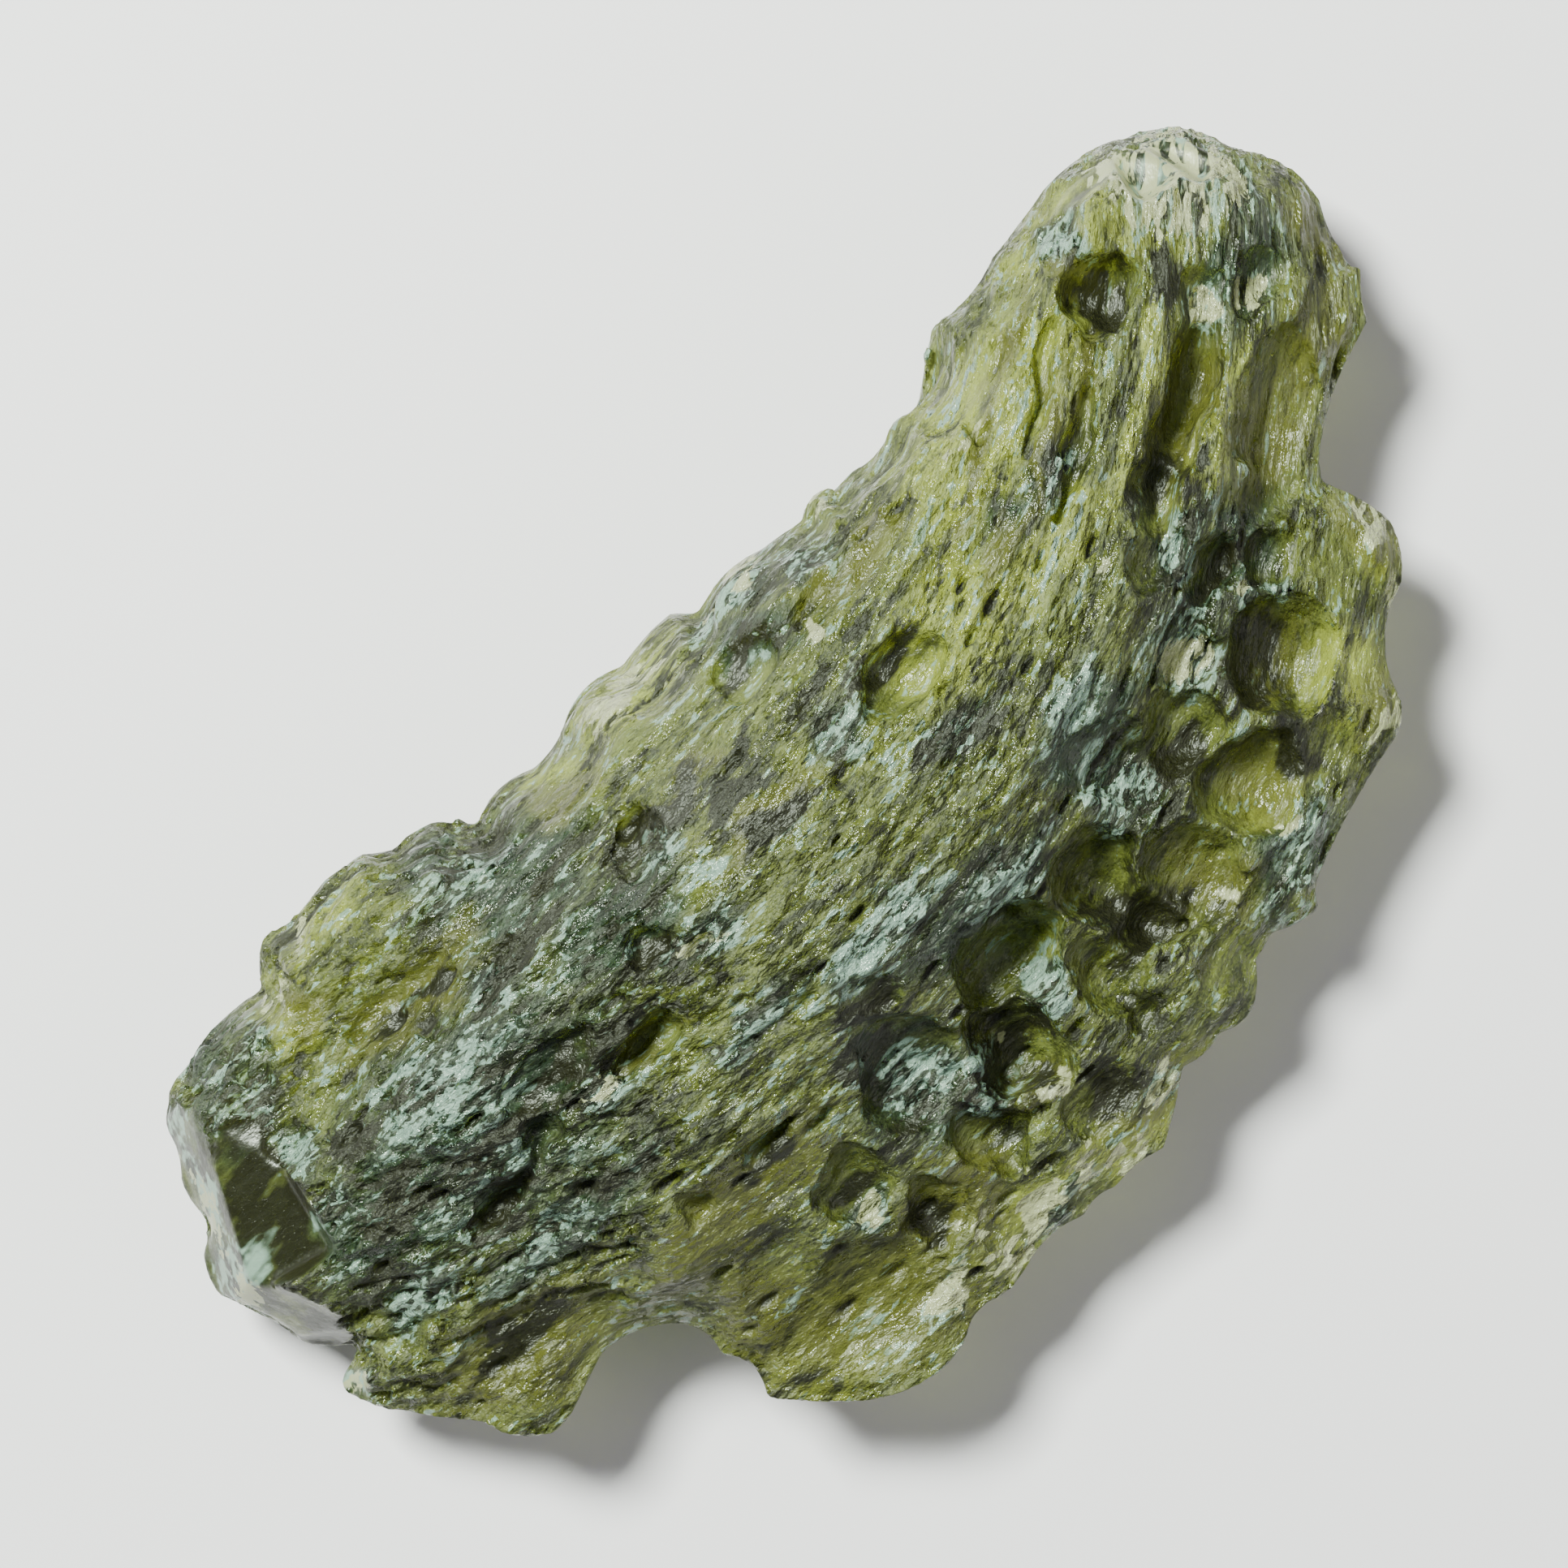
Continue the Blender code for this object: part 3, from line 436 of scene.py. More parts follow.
@dataclass(frozen=True)
class Outline:
    """The stone's edge seen from above.

    Attributes:
        teeth: its teeth, anticlockwise.
        step: the greatest distance between points on the arcs that join them.
        wave: how much the edge rises and falls.
        wave_length: how long its waves are.
        lean: the slope, seen from above, of the line that the thick side lies beyond.
        thick_side: the edge's height on the thick side.
        thin_side: its height round the flange.
    """

    teeth: tuple[Tooth, ...] = RIM
    step: float = 0.12
    wave: float = 0.35
    wave_length: float = 2.4
    lean: float = 0.12
    thick_side: float = 2.0
    thin_side: float = 3.3

    def points(self) -> Array:
        """The edge as a closed line, one point to a row.

        Returns:
            The line's points.
        """
        points = []
        for tooth, after in zip(self.teeth, self.teeth[1:] + self.teeth[:1]):
            chord = np.array((after.x - tooth.x, after.y - tooth.y))
            length = float(np.hypot(*chord))
            outwards = np.array((chord[1], -chord[0])) / length
            count = max(2, math.ceil(length / self.step))
            share = np.arange(count)[:, None] / count
            swell = 4.0 * tooth.swell * share * (1.0 - share)
            points.append(np.array((tooth.x, tooth.y)) + share * chord + swell * outwards)
        return np.vstack(points)

    def distance(self, x: Array, y: Array) -> Array:
        """How far each place is from the nearest stretch of the edge.

        Args:
            x: places along the stone.
            y: places across the stone.

        Returns:
            The distances, in millimetres.
        """
        rim = self.points()
        nearest = np.full(x.shape, np.inf)
        for start, end in zip(rim, np.roll(rim, -1, axis=0)):
            run = end - start
            share = np.clip(((x - start[0]) * run[0] + (y - start[1]) * run[1]) / (run @ run), 0.0, 1.0)
            gap = (x - start[0] - share * run[0]) ** 2 + (y - start[1] - share * run[1]) ** 2
            nearest = np.minimum(nearest, gap)
        return np.sqrt(nearest)

    def thickness_side(self, x: Array, y: Array) -> Array:
        """0 round the flange to 1 along the thick side."""
        return smoothstep(-1.0, 4.5, y - self.lean * x)

    def height(self, x: Array, y: Array) -> Array:
        """The height of the sharp edge near each place."""
        level = self.thin_side + (self.thick_side - self.thin_side) * self.thickness_side(x, y)
        return level + self.wave * swells(x, y, self.wave_length, Seed.RIM)


def edge_rise(distance: Array, slope: float | Array, bluntness: float) -> Array:
    """0 at the edge and 1 from a distance of slope inwards. A low bluntness rises steeply at the edge."""
    t = np.clip(distance / slope, 0.0, 1.0)
    return (t * (2.0 - t)) ** bluntness


@dataclass(frozen=True)
class UpperFace:
    """The ridge, the flange and every hollow that can be told apart from above.

    Attributes:
        outline: the edge that the face comes down to.
        spot_reach: how far a spot height counts.
        thick_slope: how far in from the edge the face is whole on the thick side.
        thin_slope: the same round the flange.
        bluntness: how steeply the face starts at the edge. A low one is steep.
        cup_warp: how far the hollows' outlines wander.
        warp_size: how wide one bend of a hollow's outline is.
        fine_warp: the share of the finer bends.
        fine_warp_size: how wide one of them is.
        cup_profile: 0.5 for hollows as round as a bowl, more for a gentler rim.
        crest_width: how much depth a crest line takes in.
        chip_step: how steeply the face rises beyond a chip.
    """

    outline: Outline
    spot_reach: float = 1.3
    thick_slope: float = 1.5
    thin_slope: float = 2.4
    bluntness: float = 0.72
    cup_warp: float = 0.34
    warp_size: float = 1.1
    fine_warp: float = 0.35
    fine_warp_size: float = 0.45
    cup_profile: float = 0.62
    crest_width: float = 0.10
    chip_step: float = 4.0

    def _body(self, x: Array, y: Array) -> Array:
        """The smooth surface through the spot heights.

        Args:
            x: places along the stone.
            y: places across the stone.

        Returns:
            Its heights.
        """
        weight_sum = np.zeros(x.shape)
        height_sum = np.zeros(x.shape)
        for spot in SPOTS:
            squared = (x - spot.x) ** 2 + (y - spot.y) ** 2
            weight = np.exp(-0.5 * squared / self.spot_reach**2) + 1e-4 / (1.0 + squared)
            weight_sum += weight
            height_sum += weight * spot.height
        return height_sum / weight_sum

    def hollow(self, x: Array, y: Array) -> Array:
        """How deep the hollows are. Where two meet the deeper one counts, which leaves a crest between."""
        return self._two_deepest(x, y)[0]

    def crest_line(self, x: Array, y: Array) -> Array:
        """1 on the thin crests between hollows and round their rims, and 0 away from them."""
        deepest, next_deepest = self._two_deepest(x, y)
        return np.exp(-(((deepest - next_deepest) / self.crest_width) ** 2)) * (deepest > 0.02)

    def _two_deepest(self, x: Array, y: Array) -> tuple[Array, Array]:
        """The depth of the deepest hollow over each place, and of the next deepest.

        Args:
            x: places along the stone.
            y: places across the stone.

        Returns:
            The two depths.
        """
        warp_x, warp_y = self._warp(x, y, Seed.CUP_X), self._warp(x, y, Seed.CUP_Y)
        depths = np.zeros((2, len(x)))
        for cup in CUPS:
            turn = math.radians(cup.turn)
            dx, dy = x + warp_x - cup.x, y + warp_y - cup.y
            along = dx * math.cos(turn) + dy * math.sin(turn)
            across = dy * math.cos(turn) - dx * math.sin(turn)
            inside = 1.0 - (along / cup.half_length) ** 2 - (across / cup.half_width) ** 2
            depth = cup.depth * np.clip(inside, 0.0, 1.0) ** self.cup_profile
            depths[1] = np.maximum(depths[1], np.minimum(depths[0], depth))
            depths[0] = np.maximum(depths[0], depth)
        return depths[0], depths[1]

    def _warp(self, x: Array, y: Array, seed: Seed) -> Array:
        """How far the hollows' outlines are shifted at each place."""
        fine = self.fine_warp * swells(x, y, self.fine_warp_size, seed)
        return self.cup_warp * (swells(x, y, self.warp_size, seed) + fine)

    def chipped(self, x: Array, y: Array) -> Array:
        """The lowest chip plane over each place, far up where no chip reaches.

        Args:
            x: places along the stone.
            y: places across the stone.

        Returns:
            The planes' heights.
        """
        lowest = np.full(x.shape, 1e3)
        for chip in CHIPS:
            facing = math.radians(chip.facing)
            outwards = (x - chip.x) * math.cos(facing) + (y - chip.y) * math.sin(facing)
            sideways = np.abs((y - chip.y) * math.cos(facing) - (x - chip.x) * math.sin(facing))
            beyond = np.clip(-outwards, 0.0, None) + np.clip(sideways - chip.reach, 0.0, None)
            lowest = np.minimum(lowest, chip.height - chip.slope * outwards + self.chip_step * beyond)
        return lowest

    def height(self, x: Array, y: Array, distance: Array) -> Array:
        """The face's height at each place.

        Args:
            x: places along the stone.
            y: places across the stone.
            distance: how far each place is from the edge.

        Returns:
            The heights.
        """
        thick = self.outline.thickness_side(x, y)
        slope = self.thin_slope + (self.thick_slope - self.thin_slope) * thick
        body = self._body(x, y) - self.hollow(x, y)
        rim = self.outline.height(x, y)
        height = rim + (body - rim) * edge_rise(distance, slope, self.bluntness)
        return np.minimum(height, self.chipped(x, y))


@dataclass(frozen=True)
class Underside:
    """A belly of shallow bowls, with feet that reach below the resting plane.

    Attributes:
        outline: the edge that it comes up to.
        flow: the glass's flow, which its bowls follow.
        slope: how far in from the edge the belly is whole.
        bluntness: how steeply it starts at the edge. A low one is steep.
        belly: its height above the resting plane.
        bowl_width: how wide its bowls are.
        bowl_stretch: how much longer they are than wide.
        bowl_depth: how deep they are.
        bowl_middle: the share of their depth that lies below the belly's height.
        foot_level: how low the feet reach before they are worn flat.
        foot_core: how much of a foot's width is at that level.
        foot_skirt: how far out its slope reaches, as a share of its width.
        foot_wander: how wide one bend of its outline is.
    """

    outline: Outline
    flow: Flow
    slope: float = 5.5
    bluntness: float = 0.9
    belly: float = 0.3
    bowl_width: float = 2.6
    bowl_stretch: float = 1.25
    bowl_depth: float = 1.1
    bowl_middle: float = 0.25
    foot_level: float = -0.3
    foot_core: float = 0.25
    foot_skirt: float = 1.1
    foot_wander: float = 1.5

    def height(self, x: Array, y: Array, distance: Array) -> Array:
        """The underside's height at each place.

        Args:
            x: places along the stone.
            y: places across the stone.
            distance: how far each place is from the edge.

        Returns:
            The heights.
        """
        flat = np.column_stack((x, y, np.zeros(x.shape)))
        bowls = self.flow.scallops(flat, self.bowl_width, self.bowl_stretch, Seed.BOWLS) - self.bowl_middle
        belly = self.belly + self.bowl_depth * bowls
        rim = self.outline.height(x, y)
        height = rim + (belly - rim) * edge_rise(distance, self.slope, self.bluntness)
        for foot in FEET:
            away = np.hypot(x - foot.x, y - foot.y) + swells(x, y, self.foot_wander, Seed.FOOT)
            outside = smoothstep(self.foot_core * foot.across, self.foot_skirt * foot.across, away)
            height += (self.foot_level - height) * (1.0 - outside)
        return height


class Grain(NamedTuple):
    """One layer of etched cups: how wide they are, how drawn out, how deep, and which field."""

    cell: float
    stretch: float
    depth: float
    seed: Seed


@dataclass(frozen=True)
class Skin:
    """The etched skin, layer over layer.

    Attributes:
        flow: the glass's flow, which every layer follows.
        lumps: broad cups, faint on the upper face and full on the sides and underside.
        grooves: long grooves all over.
        striae: fine lines all over.
        pits: close pits of the rough patches.
        facets: small flat faces of the rough patches.
        pore_cell: how far apart single pores could be.
        pore_depth: how deep a pore is.
        pore_stretch: how much longer than wide a pore is.
        pore_share: how many of the places hold a pore, from 0 to 1.
        rough_size: size of the rough patches.
        rough_base: how rough the skin is everywhere.
        rough_ridge: how much rougher the ridge is.
        rough_broad_end: how much rougher the broad end is.
        rough_patches: how much the rough patches count.
        lump_fade: how much fainter the lumps are on the upper face.
        hollow_calm: how much fainter the broad layers are in the hollows.
        calm_rim: how far from the edge the broad layers are at their full height.
        close_rim: how far from the edge the close layers are.
        chip_etching: how much of the close layers the chips keep.
        steep_fade: how much fainter the close layers are on steep sides.
        clear_smoothing: how smooth the clear patches are, from 0 to 1.
        hollow_smoothing: how smooth the hollows are.
        chip_smoothing: how smooth the chips are.
        frosting: how rough the frosted patches are.
    """

    flow: Flow
    lumps: Grain = Grain(1.6, 1.6, 0.45, Seed.LUMPS)
    grooves: Grain = Grain(0.95, 5.0, 0.24, Seed.GROOVES)
    striae: Grain = Grain(0.32, 4.0, 0.08, Seed.STRIAE)
    pits: Grain = Grain(0.36, 2.6, 0.17, Seed.PITS)
    facets: Grain = Grain(0.50, 3.0, 0.18, Seed.FACETS)
    pore_cell: float = 0.50
    pore_depth: float = 0.24
    pore_stretch: float = 2.6
    pore_share: float = 0.3
    rough_size: float = 1.6
    rough_base: float = 0.12
    rough_ridge: float = 0.2
    rough_broad_end: float = 0.45
    rough_patches: float = 0.55
    lump_fade: float = 0.65
    hollow_calm: float = 0.7
    calm_rim: float = 1.5
    close_rim: float = 0.5
    chip_etching: float = 0.25
    steep_fade: float = 0.5
    clear_smoothing: float = 0.35
    hollow_smoothing: float = 0.5
    chip_smoothing: float = 0.9
    frosting: float = 0.8

    def layer(self, points: Array, grain: Grain) -> Array:
        """The height of one layer at each place."""
        return grain.depth * (self.flow.scallops(points, grain.cell, grain.stretch, grain.seed) - 0.3)

    def rough(self, points: Array) -> Array:
        """0 where the skin is smooth to 1 where it is closely pitted, as on the broad end.

        Args:
            points: places, one to a row.

        Returns:
            How rough each place is.
        """
        x, y = points[:, 0], points[:, 1]
        broad_end = smoothstep(-1.0, -7.0, x) * smoothstep(-3.0, -1.0, y)
        ridge = smoothstep(-4.0, -1.0, y - 0.12 * x)
        patches = swells(x, y, self.rough_size, Seed.ROUGHNESS)
        rough = self.rough_base + self.rough_ridge * ridge + self.rough_broad_end * broad_end
        return smoothstep(0.35, 0.75, rough + self.rough_patches * patches)

    def drawn(self, points: Array) -> Array:
        """How much the long grooves show: fully at the narrow end, and little at the broad one."""
        return 0.3 + 1.1 * smoothstep(-4.0, 5.0, points[:, 0])

    def pore(self, points: Array) -> Array:
        """How deep the single pores are at each place."""
        pores = self.flow.pores(points, self.pore_cell, self.pore_stretch, Seed.PORES, self.pore_share)
        return self.pore_depth * pores


def patch_mask(look: Look, x: Array, y: Array) -> Array:
    """How far each place has this look, from 0 to 1.

    Args:
        look: the look.
        x: places along the stone.
        y: places across the stone.

    Returns:
        The greatest share that any patch has there.
    """
    warp_x = 0.5 * swells(x, y, 0.9, Seed.PATCH_X)
    warp_y = 0.5 * swells(x, y, 0.9, Seed.PATCH_Y)
    mask = np.zeros(x.shape)
    for patch in (patch for patch in PATCHES if patch.look is look):
        turn = math.radians(patch.turn)
        dx, dy = x + warp_x - patch.x, y + warp_y - patch.y
        along = (dx * math.cos(turn) + dy * math.sin(turn)) / patch.half_length
        across = (dy * math.cos(turn) - dx * math.sin(turn)) / patch.half_width
        mask = np.maximum(mask, 1.0 - 0.5 * (along**2 + across**2))
    return mask


def vertex_vectors(mesh: bpy.types.Mesh, attribute: str) -> Array:
    """The vertices' places ("co") or directions ("normal"), one to a row.

    Args:
        mesh: the mesh.
        attribute: which of the two.

    Returns:
        The vectors.
    """
    values = np.empty(len(mesh.vertices) * 3)
    mesh.vertices.foreach_get(attribute, values)
    return values.reshape(-1, 3)


def move_vertices(mesh: bpy.types.Mesh, points: Array) -> None:
    """Puts the vertices at these places."""
    mesh.vertices.foreach_set("co", points.ravel())
    mesh.update()


@dataclass
class Stone:
    """The moldavite itself.

    Attributes:
        slab_height: the slab's height before it is sculpted.
        voxel: the size of the faces while the skin is etched.
        triangles: how many triangles the finished mesh has.
        thin_above: how readily triangles of the upper face are merged, from none at 0 to all at 1.
        thin_below: how much more the underside is thinned out than the upper face.
        edge_thickness: the least thickness at the edge.
    """

    slab_height: float = 1.2
    voxel: float = 0.09
    triangles: int = 190000
    thin_above: float = 0.001
    thin_below: float = 1.0
    edge_thickness: float = 0.30

    def __post_init__(self) -> None:
        """Sets up the parts that the shape is worked out from."""
        self.flow = Flow()
        self.outline = Outline()
        self.upper = UpperFace(self.outline)
        self.lower = Underside(self.outline, self.flow)
        self.skin = Skin(self.flow)

    def build(self) -> bpy.types.Object:
        """Makes the stone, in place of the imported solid.

        Returns:
            The finished object.
        """
        stone = self._even(self._slab())
        self._sculpt(stone)
        stone = self._even(stone)
        self._etch(stone)
        self._thin_out(stone)
        self._wear_feet(stone)
        self._fit(stone)
        stone.data.shade_smooth()
        return stone

    def _slab(self) -> bpy.types.Object:
        """A slab cut to the outline.

        Returns:
            The slab's object.
        """
        mesh = bmesh.new()
        for x, y in self.outline.points():
            mesh.verts.new((x, y, -self.slab_height / 2))
        sheet = bmesh.ops.contextual_create(mesh, geom=mesh.verts[:])["faces"]
        raised = bmesh.ops.extrude_face_region(mesh, geom=sheet)["geom"]
        raised = [item for item in raised if isinstance(item, bmesh.types.BMVert)]
        bmesh.ops.translate(mesh, verts=raised, vec=(0.0, 0.0, self.slab_height))
        bmesh.ops.triangulate(mesh, faces=mesh.faces)
        bmesh.ops.recalc_face_normals(mesh, faces=mesh.faces)
        data = bpy.data.meshes.new("stone")
        mesh.to_mesh(data)
        mesh.free()
        slab = bpy.data.objects.new("stone", data)
        bpy.context.scene.collection.objects.link(slab)
        return slab

    def _even(self, obj: bpy.types.Object) -> bpy.types.Object:
        """The same shape with faces of an even size.

        Args:
            obj: the object to be changed.

        Returns:
            The same object.
        """
        remesh = obj.modifiers.new("even faces", "REMESH")
        remesh.mode = "VOXEL"
        remesh.voxel_size = self.voxel
        self._apply(obj)
        return obj

    def _thin_out(self, stone: bpy.types.Object) -> None:
        """Merges triangles below, and on the upper face only as a last resort.

        Args:
            stone: the stone's object.
        """
        below = stone.vertex_groups.new(name="below")
        facing_down = smoothstep(0.3, -0.3, vertex_vectors(stone.data, "normal")[:, 2])
        facing_down = np.maximum(facing_down, self.thin_above)
        for index, share in enumerate(facing_down):
            below.add((index,), float(share), "REPLACE")
        stone.data.calc_loop_triangles()
        decimate = stone.modifiers.new("fewer triangles", "DECIMATE")
        decimate.ratio = self.triangles / len(stone.data.loop_triangles)
        decimate.use_collapse_triangulate = True
        decimate.vertex_group = below.name
        decimate.vertex_group_factor = self.thin_below
        self._apply(stone)
        stone.vertex_groups.clear()

    @staticmethod
    def _apply(obj: bpy.types.Object) -> None:
        """Makes what the object's modifiers show its own mesh.

        Args:
            obj: the object.
        """
        bpy.context.view_layer.update()
        graph = bpy.context.evaluated_depsgraph_get()
        shown = bpy.data.meshes.new_from_object(obj.evaluated_get(graph))
        obj.modifiers.clear()
        obj.data = shown

    def _sculpt(self, stone: bpy.types.Object) -> None:
        """Moves the slab's vertices to the two faces, and everything between in proportion.

        Args:
            stone: the stone's object.
        """
        points = vertex_vectors(stone.data, "co")
        x, y = points[:, 0], points[:, 1]
        share = np.clip(points[:, 2] / self.slab_height + 0.5, 0.0, 1.0)
        distance = self.outline.distance(x, y)
        lower = self.lower.height(x, y, distance)
        upper = np.maximum(self.upper.height(x, y, distance), lower + self.edge_thickness)
        points[:, 2] = lower + (upper - lower) * share
        move_vertices(stone.data, points)

    def _etch(self, stone: bpy.types.Object) -> None:
        """Raises the skin, and notes what the finish has to know of each place.

        Args:
            stone: the stone's object.
        """
        skin = self.skin
        points = vertex_vectors(stone.data, "co")
        normals = vertex_vectors(stone.data, "normal")
        x, y, z = points.T
        from_edge = np.hypot(self.outline.distance(x, y), z - self.outline.height(x, y))
        facing_up = smoothstep(0.0, 0.5, normals[:, 2])
        hollow = smoothstep(0.0, 0.4, self.upper.hollow(x, y)) * facing_up
        unchipped = smoothstep(0.05, 0.35, self.upper.chipped(x, y) - z)

        side = 1.0 - skin.lump_fade * smoothstep(0.45, 0.85, normals[:, 2])
        calm = smoothstep(0.0, skin.calm_rim, from_edge) * (1.0 - skin.hollow_calm * hollow) * unchipped
        broad = skin.layer(points, skin.lumps) * side
        broad += skin.layer(points, skin.grooves) * skin.drawn(points)
        gentle = smoothstep(0.0, skin.close_rim, from_edge)
        gentle *= skin.chip_etching + (1.0 - skin.chip_etching) * unchipped
        masks = {look: patch_mask(look, x, y) for look in Look}
        frosted = smoothstep(0.3, 0.9, masks[Look.FROSTED])
        smooth = skin.clear_smoothing * smoothstep(0.2, 0.8, masks[Look.CLEAR])
        smooth = np.maximum(smooth, skin.hollow_smoothing * hollow) * (1.0 - frosted) * facing_up
        smooth = np.maximum(smooth, skin.chip_smoothing * (1.0 - unchipped))
        rough = np.maximum(skin.rough(points), skin.frosting * frosted)
        close = skin.layer(points, skin.striae) * (0.3 + 0.7 * np.maximum(rough, skin.drawn(points)))
        close += skin.layer(points, skin.pits) * rough
        facets = self.flow.facets(points, skin.facets.cell, skin.facets.stretch, skin.facets.seed)
        close += skin.facets.depth * facets * (0.2 + 0.8 * rough)
        close -= skin.pore(points)
        steep = 1.0 - smoothstep(0.0, 0.5, np.abs(normals[:, 2]))
        close *= (1.0 - smooth) * (1.0 - skin.steep_fade * steep)
        relief = broad * calm + close * gentle
        move_vertices(stone.data, points + relief[:, None] * normals)

        self._note(stone, "crest", np.clip(0.5 + 1.2 * broad * calm + 3.6 * close * gentle, 0.0, 1.0))
        self._note(stone, "crest line", self.upper.crest_line(x, y) * facing_up)
        self._note(stone, "smooth", smooth)
        facing_up = smoothstep(-0.3, 0.2, normals[:, 2])
        for look, mask in masks.items():
            self._note(stone, look.value, mask * facing_up)

    @staticmethod
    def _note(stone: bpy.types.Object, name: str, values: Array) -> None:
        """Keeps a number for each vertex under this name."""
        attribute = stone.data.attributes.new(name, "FLOAT", "POINT")
        attribute.data.foreach_set("value", values.astype(np.float32))

    @staticmethod
    def _wear_feet(stone: bpy.types.Object) -> None:
        """Presses what reaches below the resting plane flat.

        Args:
            stone: the stone's object.
        """
        points = vertex_vectors(stone.data, "co")
        points[:, 2] = np.maximum(points[:, 2], 0.0)
        move_vertices(stone.data, points)

    @staticmethod
    def _fit(stone: bpy.types.Object) -> None:
        """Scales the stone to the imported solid's box, in metres.

        Args:
            stone: the stone's object.
        """
        low, high = (Vector(corner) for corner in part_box(NODE))
        points = vertex_vectors(stone.data, "co")
        own_low, own_high = Vector(points.min(axis=0)), Vector(points.max(axis=0))
        size = [(b - a) / (d - c) for a, b, c, d in zip(low, high, own_low, own_high)]
        stone.data.transform(Matrix.Translation(-own_low))
        stone.data.transform(Matrix.Translation(low) @ Matrix.Diagonal((*size, 1.0)))


@dataclass(frozen=True)
class Speck:
    """The size of one layer of specks in the finish.

    Attributes:
        stretch: how much longer than wide a speck is.
        width: its width, in metres.
        depth: how high it seems to stand, in metres.
    """

    stretch: float
    width: float
    depth: float = 0.0


class NodeSheet:
    """A material's node tree with short ways to add to it."""

    def __init__(self, name: str) -> None:
        """Starts a material of this name with its usual two nodes.

        Args:
            name: the material's name.
        """
        self.material = bpy.data.materials.new(name)
        self.material.use_nodes = True
        self.nodes = self.material.node_tree.nodes
        self.shader = self.nodes["Principled BSDF"]
        self.output = self.nodes["Material Output"]

    def add(self, kind: str, **settings: object) -> bpy.types.ShaderNode:
        """A new node with these settings.

        Args:
            kind: its type.
            settings: its properties.

        Returns:
            The node.
        """
        node = self.nodes.new(kind)
        for name, value in settings.items():
            setattr(node, name, value)
        return node

    def feed(self, target: bpy.types.NodeSocket, source: object) -> None:
        """Links source to target, or sets it there if it is a plain value.

        Args:
            target: the socket to be fed.
            source: a socket or a value.
        """
        if isinstance(source, bpy.types.NodeSocket):
            self.material.node_tree.links.new(source, target)
        else:
            target.default_value = source

    def math(self, operation: str, *values: object) -> bpy.types.NodeSocket:
        """The result of a Math node.

        Args:
            operation: what it does.
            values: its sockets or numbers, in order.

        Returns:
            Its output.
        """
        node = self.add("ShaderNodeMath", operation=operation)
        for socket, value in zip(node.inputs, values):
            self.feed(socket, value)
        return node.outputs[0]

    def added(self, value: object, factor: object, base: object) -> bpy.types.NodeSocket:
        """The value times the factor, added to the base."""
        return self.math("MULTIPLY_ADD", value, factor, base)

    def attribute(self, name: str) -> bpy.types.NodeSocket:
        """The number that the mesh holds under this name."""
        return self.add("ShaderNodeAttribute", attribute_name=name).outputs["Fac"]

    def mix(self, share: object, first: object, second: object) -> bpy.types.NodeSocket:
        """A mix of two colours.

        Args:
            share: how much of the second.
            first: a colour or socket.
            second: a colour or socket.

        Returns:
            The mix.
        """
        node = self.add("ShaderNodeMix", data_type="RGBA")
        self.feed(node.inputs[0], share)
        for socket, colour in zip(node.inputs[6:8], (first, second)):
            self.feed(socket, (*colour, 1.0) if isinstance(colour, tuple) else colour)
        return node.outputs[2]

    def span(
        self, value: object, low: float, high: float, to_low: float = 0.0, to_high: float = 1.0
    ) -> bpy.types.NodeSocket:
        """Value carried from one range to another, and kept inside it.

        Args:
            value: the socket.
            low: where the first range starts.
            high: where it ends.
            to_low: where the second range starts.
            to_high: where it ends.

        Returns:
            The new value.
        """
        node = self.add("ShaderNodeMapRange", clamp=True)
        for socket, number in zip(node.inputs, (value, low, high, to_low, to_high)):
            self.feed(socket, number)
        return node.outputs[0]

    def flow_place(self, flow: Flow) -> bpy.types.NodeSocket:
        """Object coordinates straightened along the glass's flow.

        Args:
            flow: the flow.

        Returns:
            The places, in metres.
        """
        place = self.add("ShaderNodeTexCoord").outputs["Object"]
        split = self.add("ShaderNodeSeparateXYZ")
        self.feed(split.inputs[0], place)
        x, y, z = split.outputs
        bend = self.math("MULTIPLY_ADD", x, 1e6 * flow.twist / 6, 1e3 * flow.bend / 2)
        slope = self.math("MULTIPLY_ADD", x, bend, flow.middle_slope)
        join = self.add("ShaderNodeCombineXYZ")
        across = self.math("SUBTRACT", y, self.math("MULTIPLY", x, slope))
        for socket, value in zip(join.inputs, (x, across, z)):
            self.feed(socket, value)
        return join.outputs[0]

    def stretched(self, place: bpy.types.NodeSocket, speck: Speck) -> bpy.types.NodeSocket:
        """Place scaled so that one unit is the width of a speck, drawn out along the flow.

        Args:
            place: the places.
            speck: the specks.

        Returns:
            The scaled places.
        """
        node = self.add("ShaderNodeMapping")
        self.feed(node.inputs["Vector"], place)
        width = speck.width
        node.inputs["Scale"].default_value = (1.0 / (width * speck.stretch), 1.0 / width, 1.0 / width)
        return node.outputs[0]

    def noise(self, place: bpy.types.NodeSocket, speck: Speck, detail: float) -> bpy.types.NodeSocket:
        """Soft noise of the specks' size, from 0 to 1.

        Args:
            place: where to look it up.
            speck: the specks.
            detail: how many finer layers it has.

        Returns:
            The noise.
        """
        node = self.add("ShaderNodeTexNoise")
        self.feed(node.inputs["Vector"], self.stretched(place, speck))
        node.inputs["Scale"].default_value = 1.0
        node.inputs["Detail"].default_value = detail
        return node.outputs[0]

    def mottle(self, place: bpy.types.NodeSocket, speck: Speck, detail: float = 2.0) -> bpy.types.NodeSocket:
        """The same noise with more contrast, from -0.5 to 0.5."""
        return self.span(self.noise(place, speck, detail), 0.3, 0.7, -0.5, 0.5)

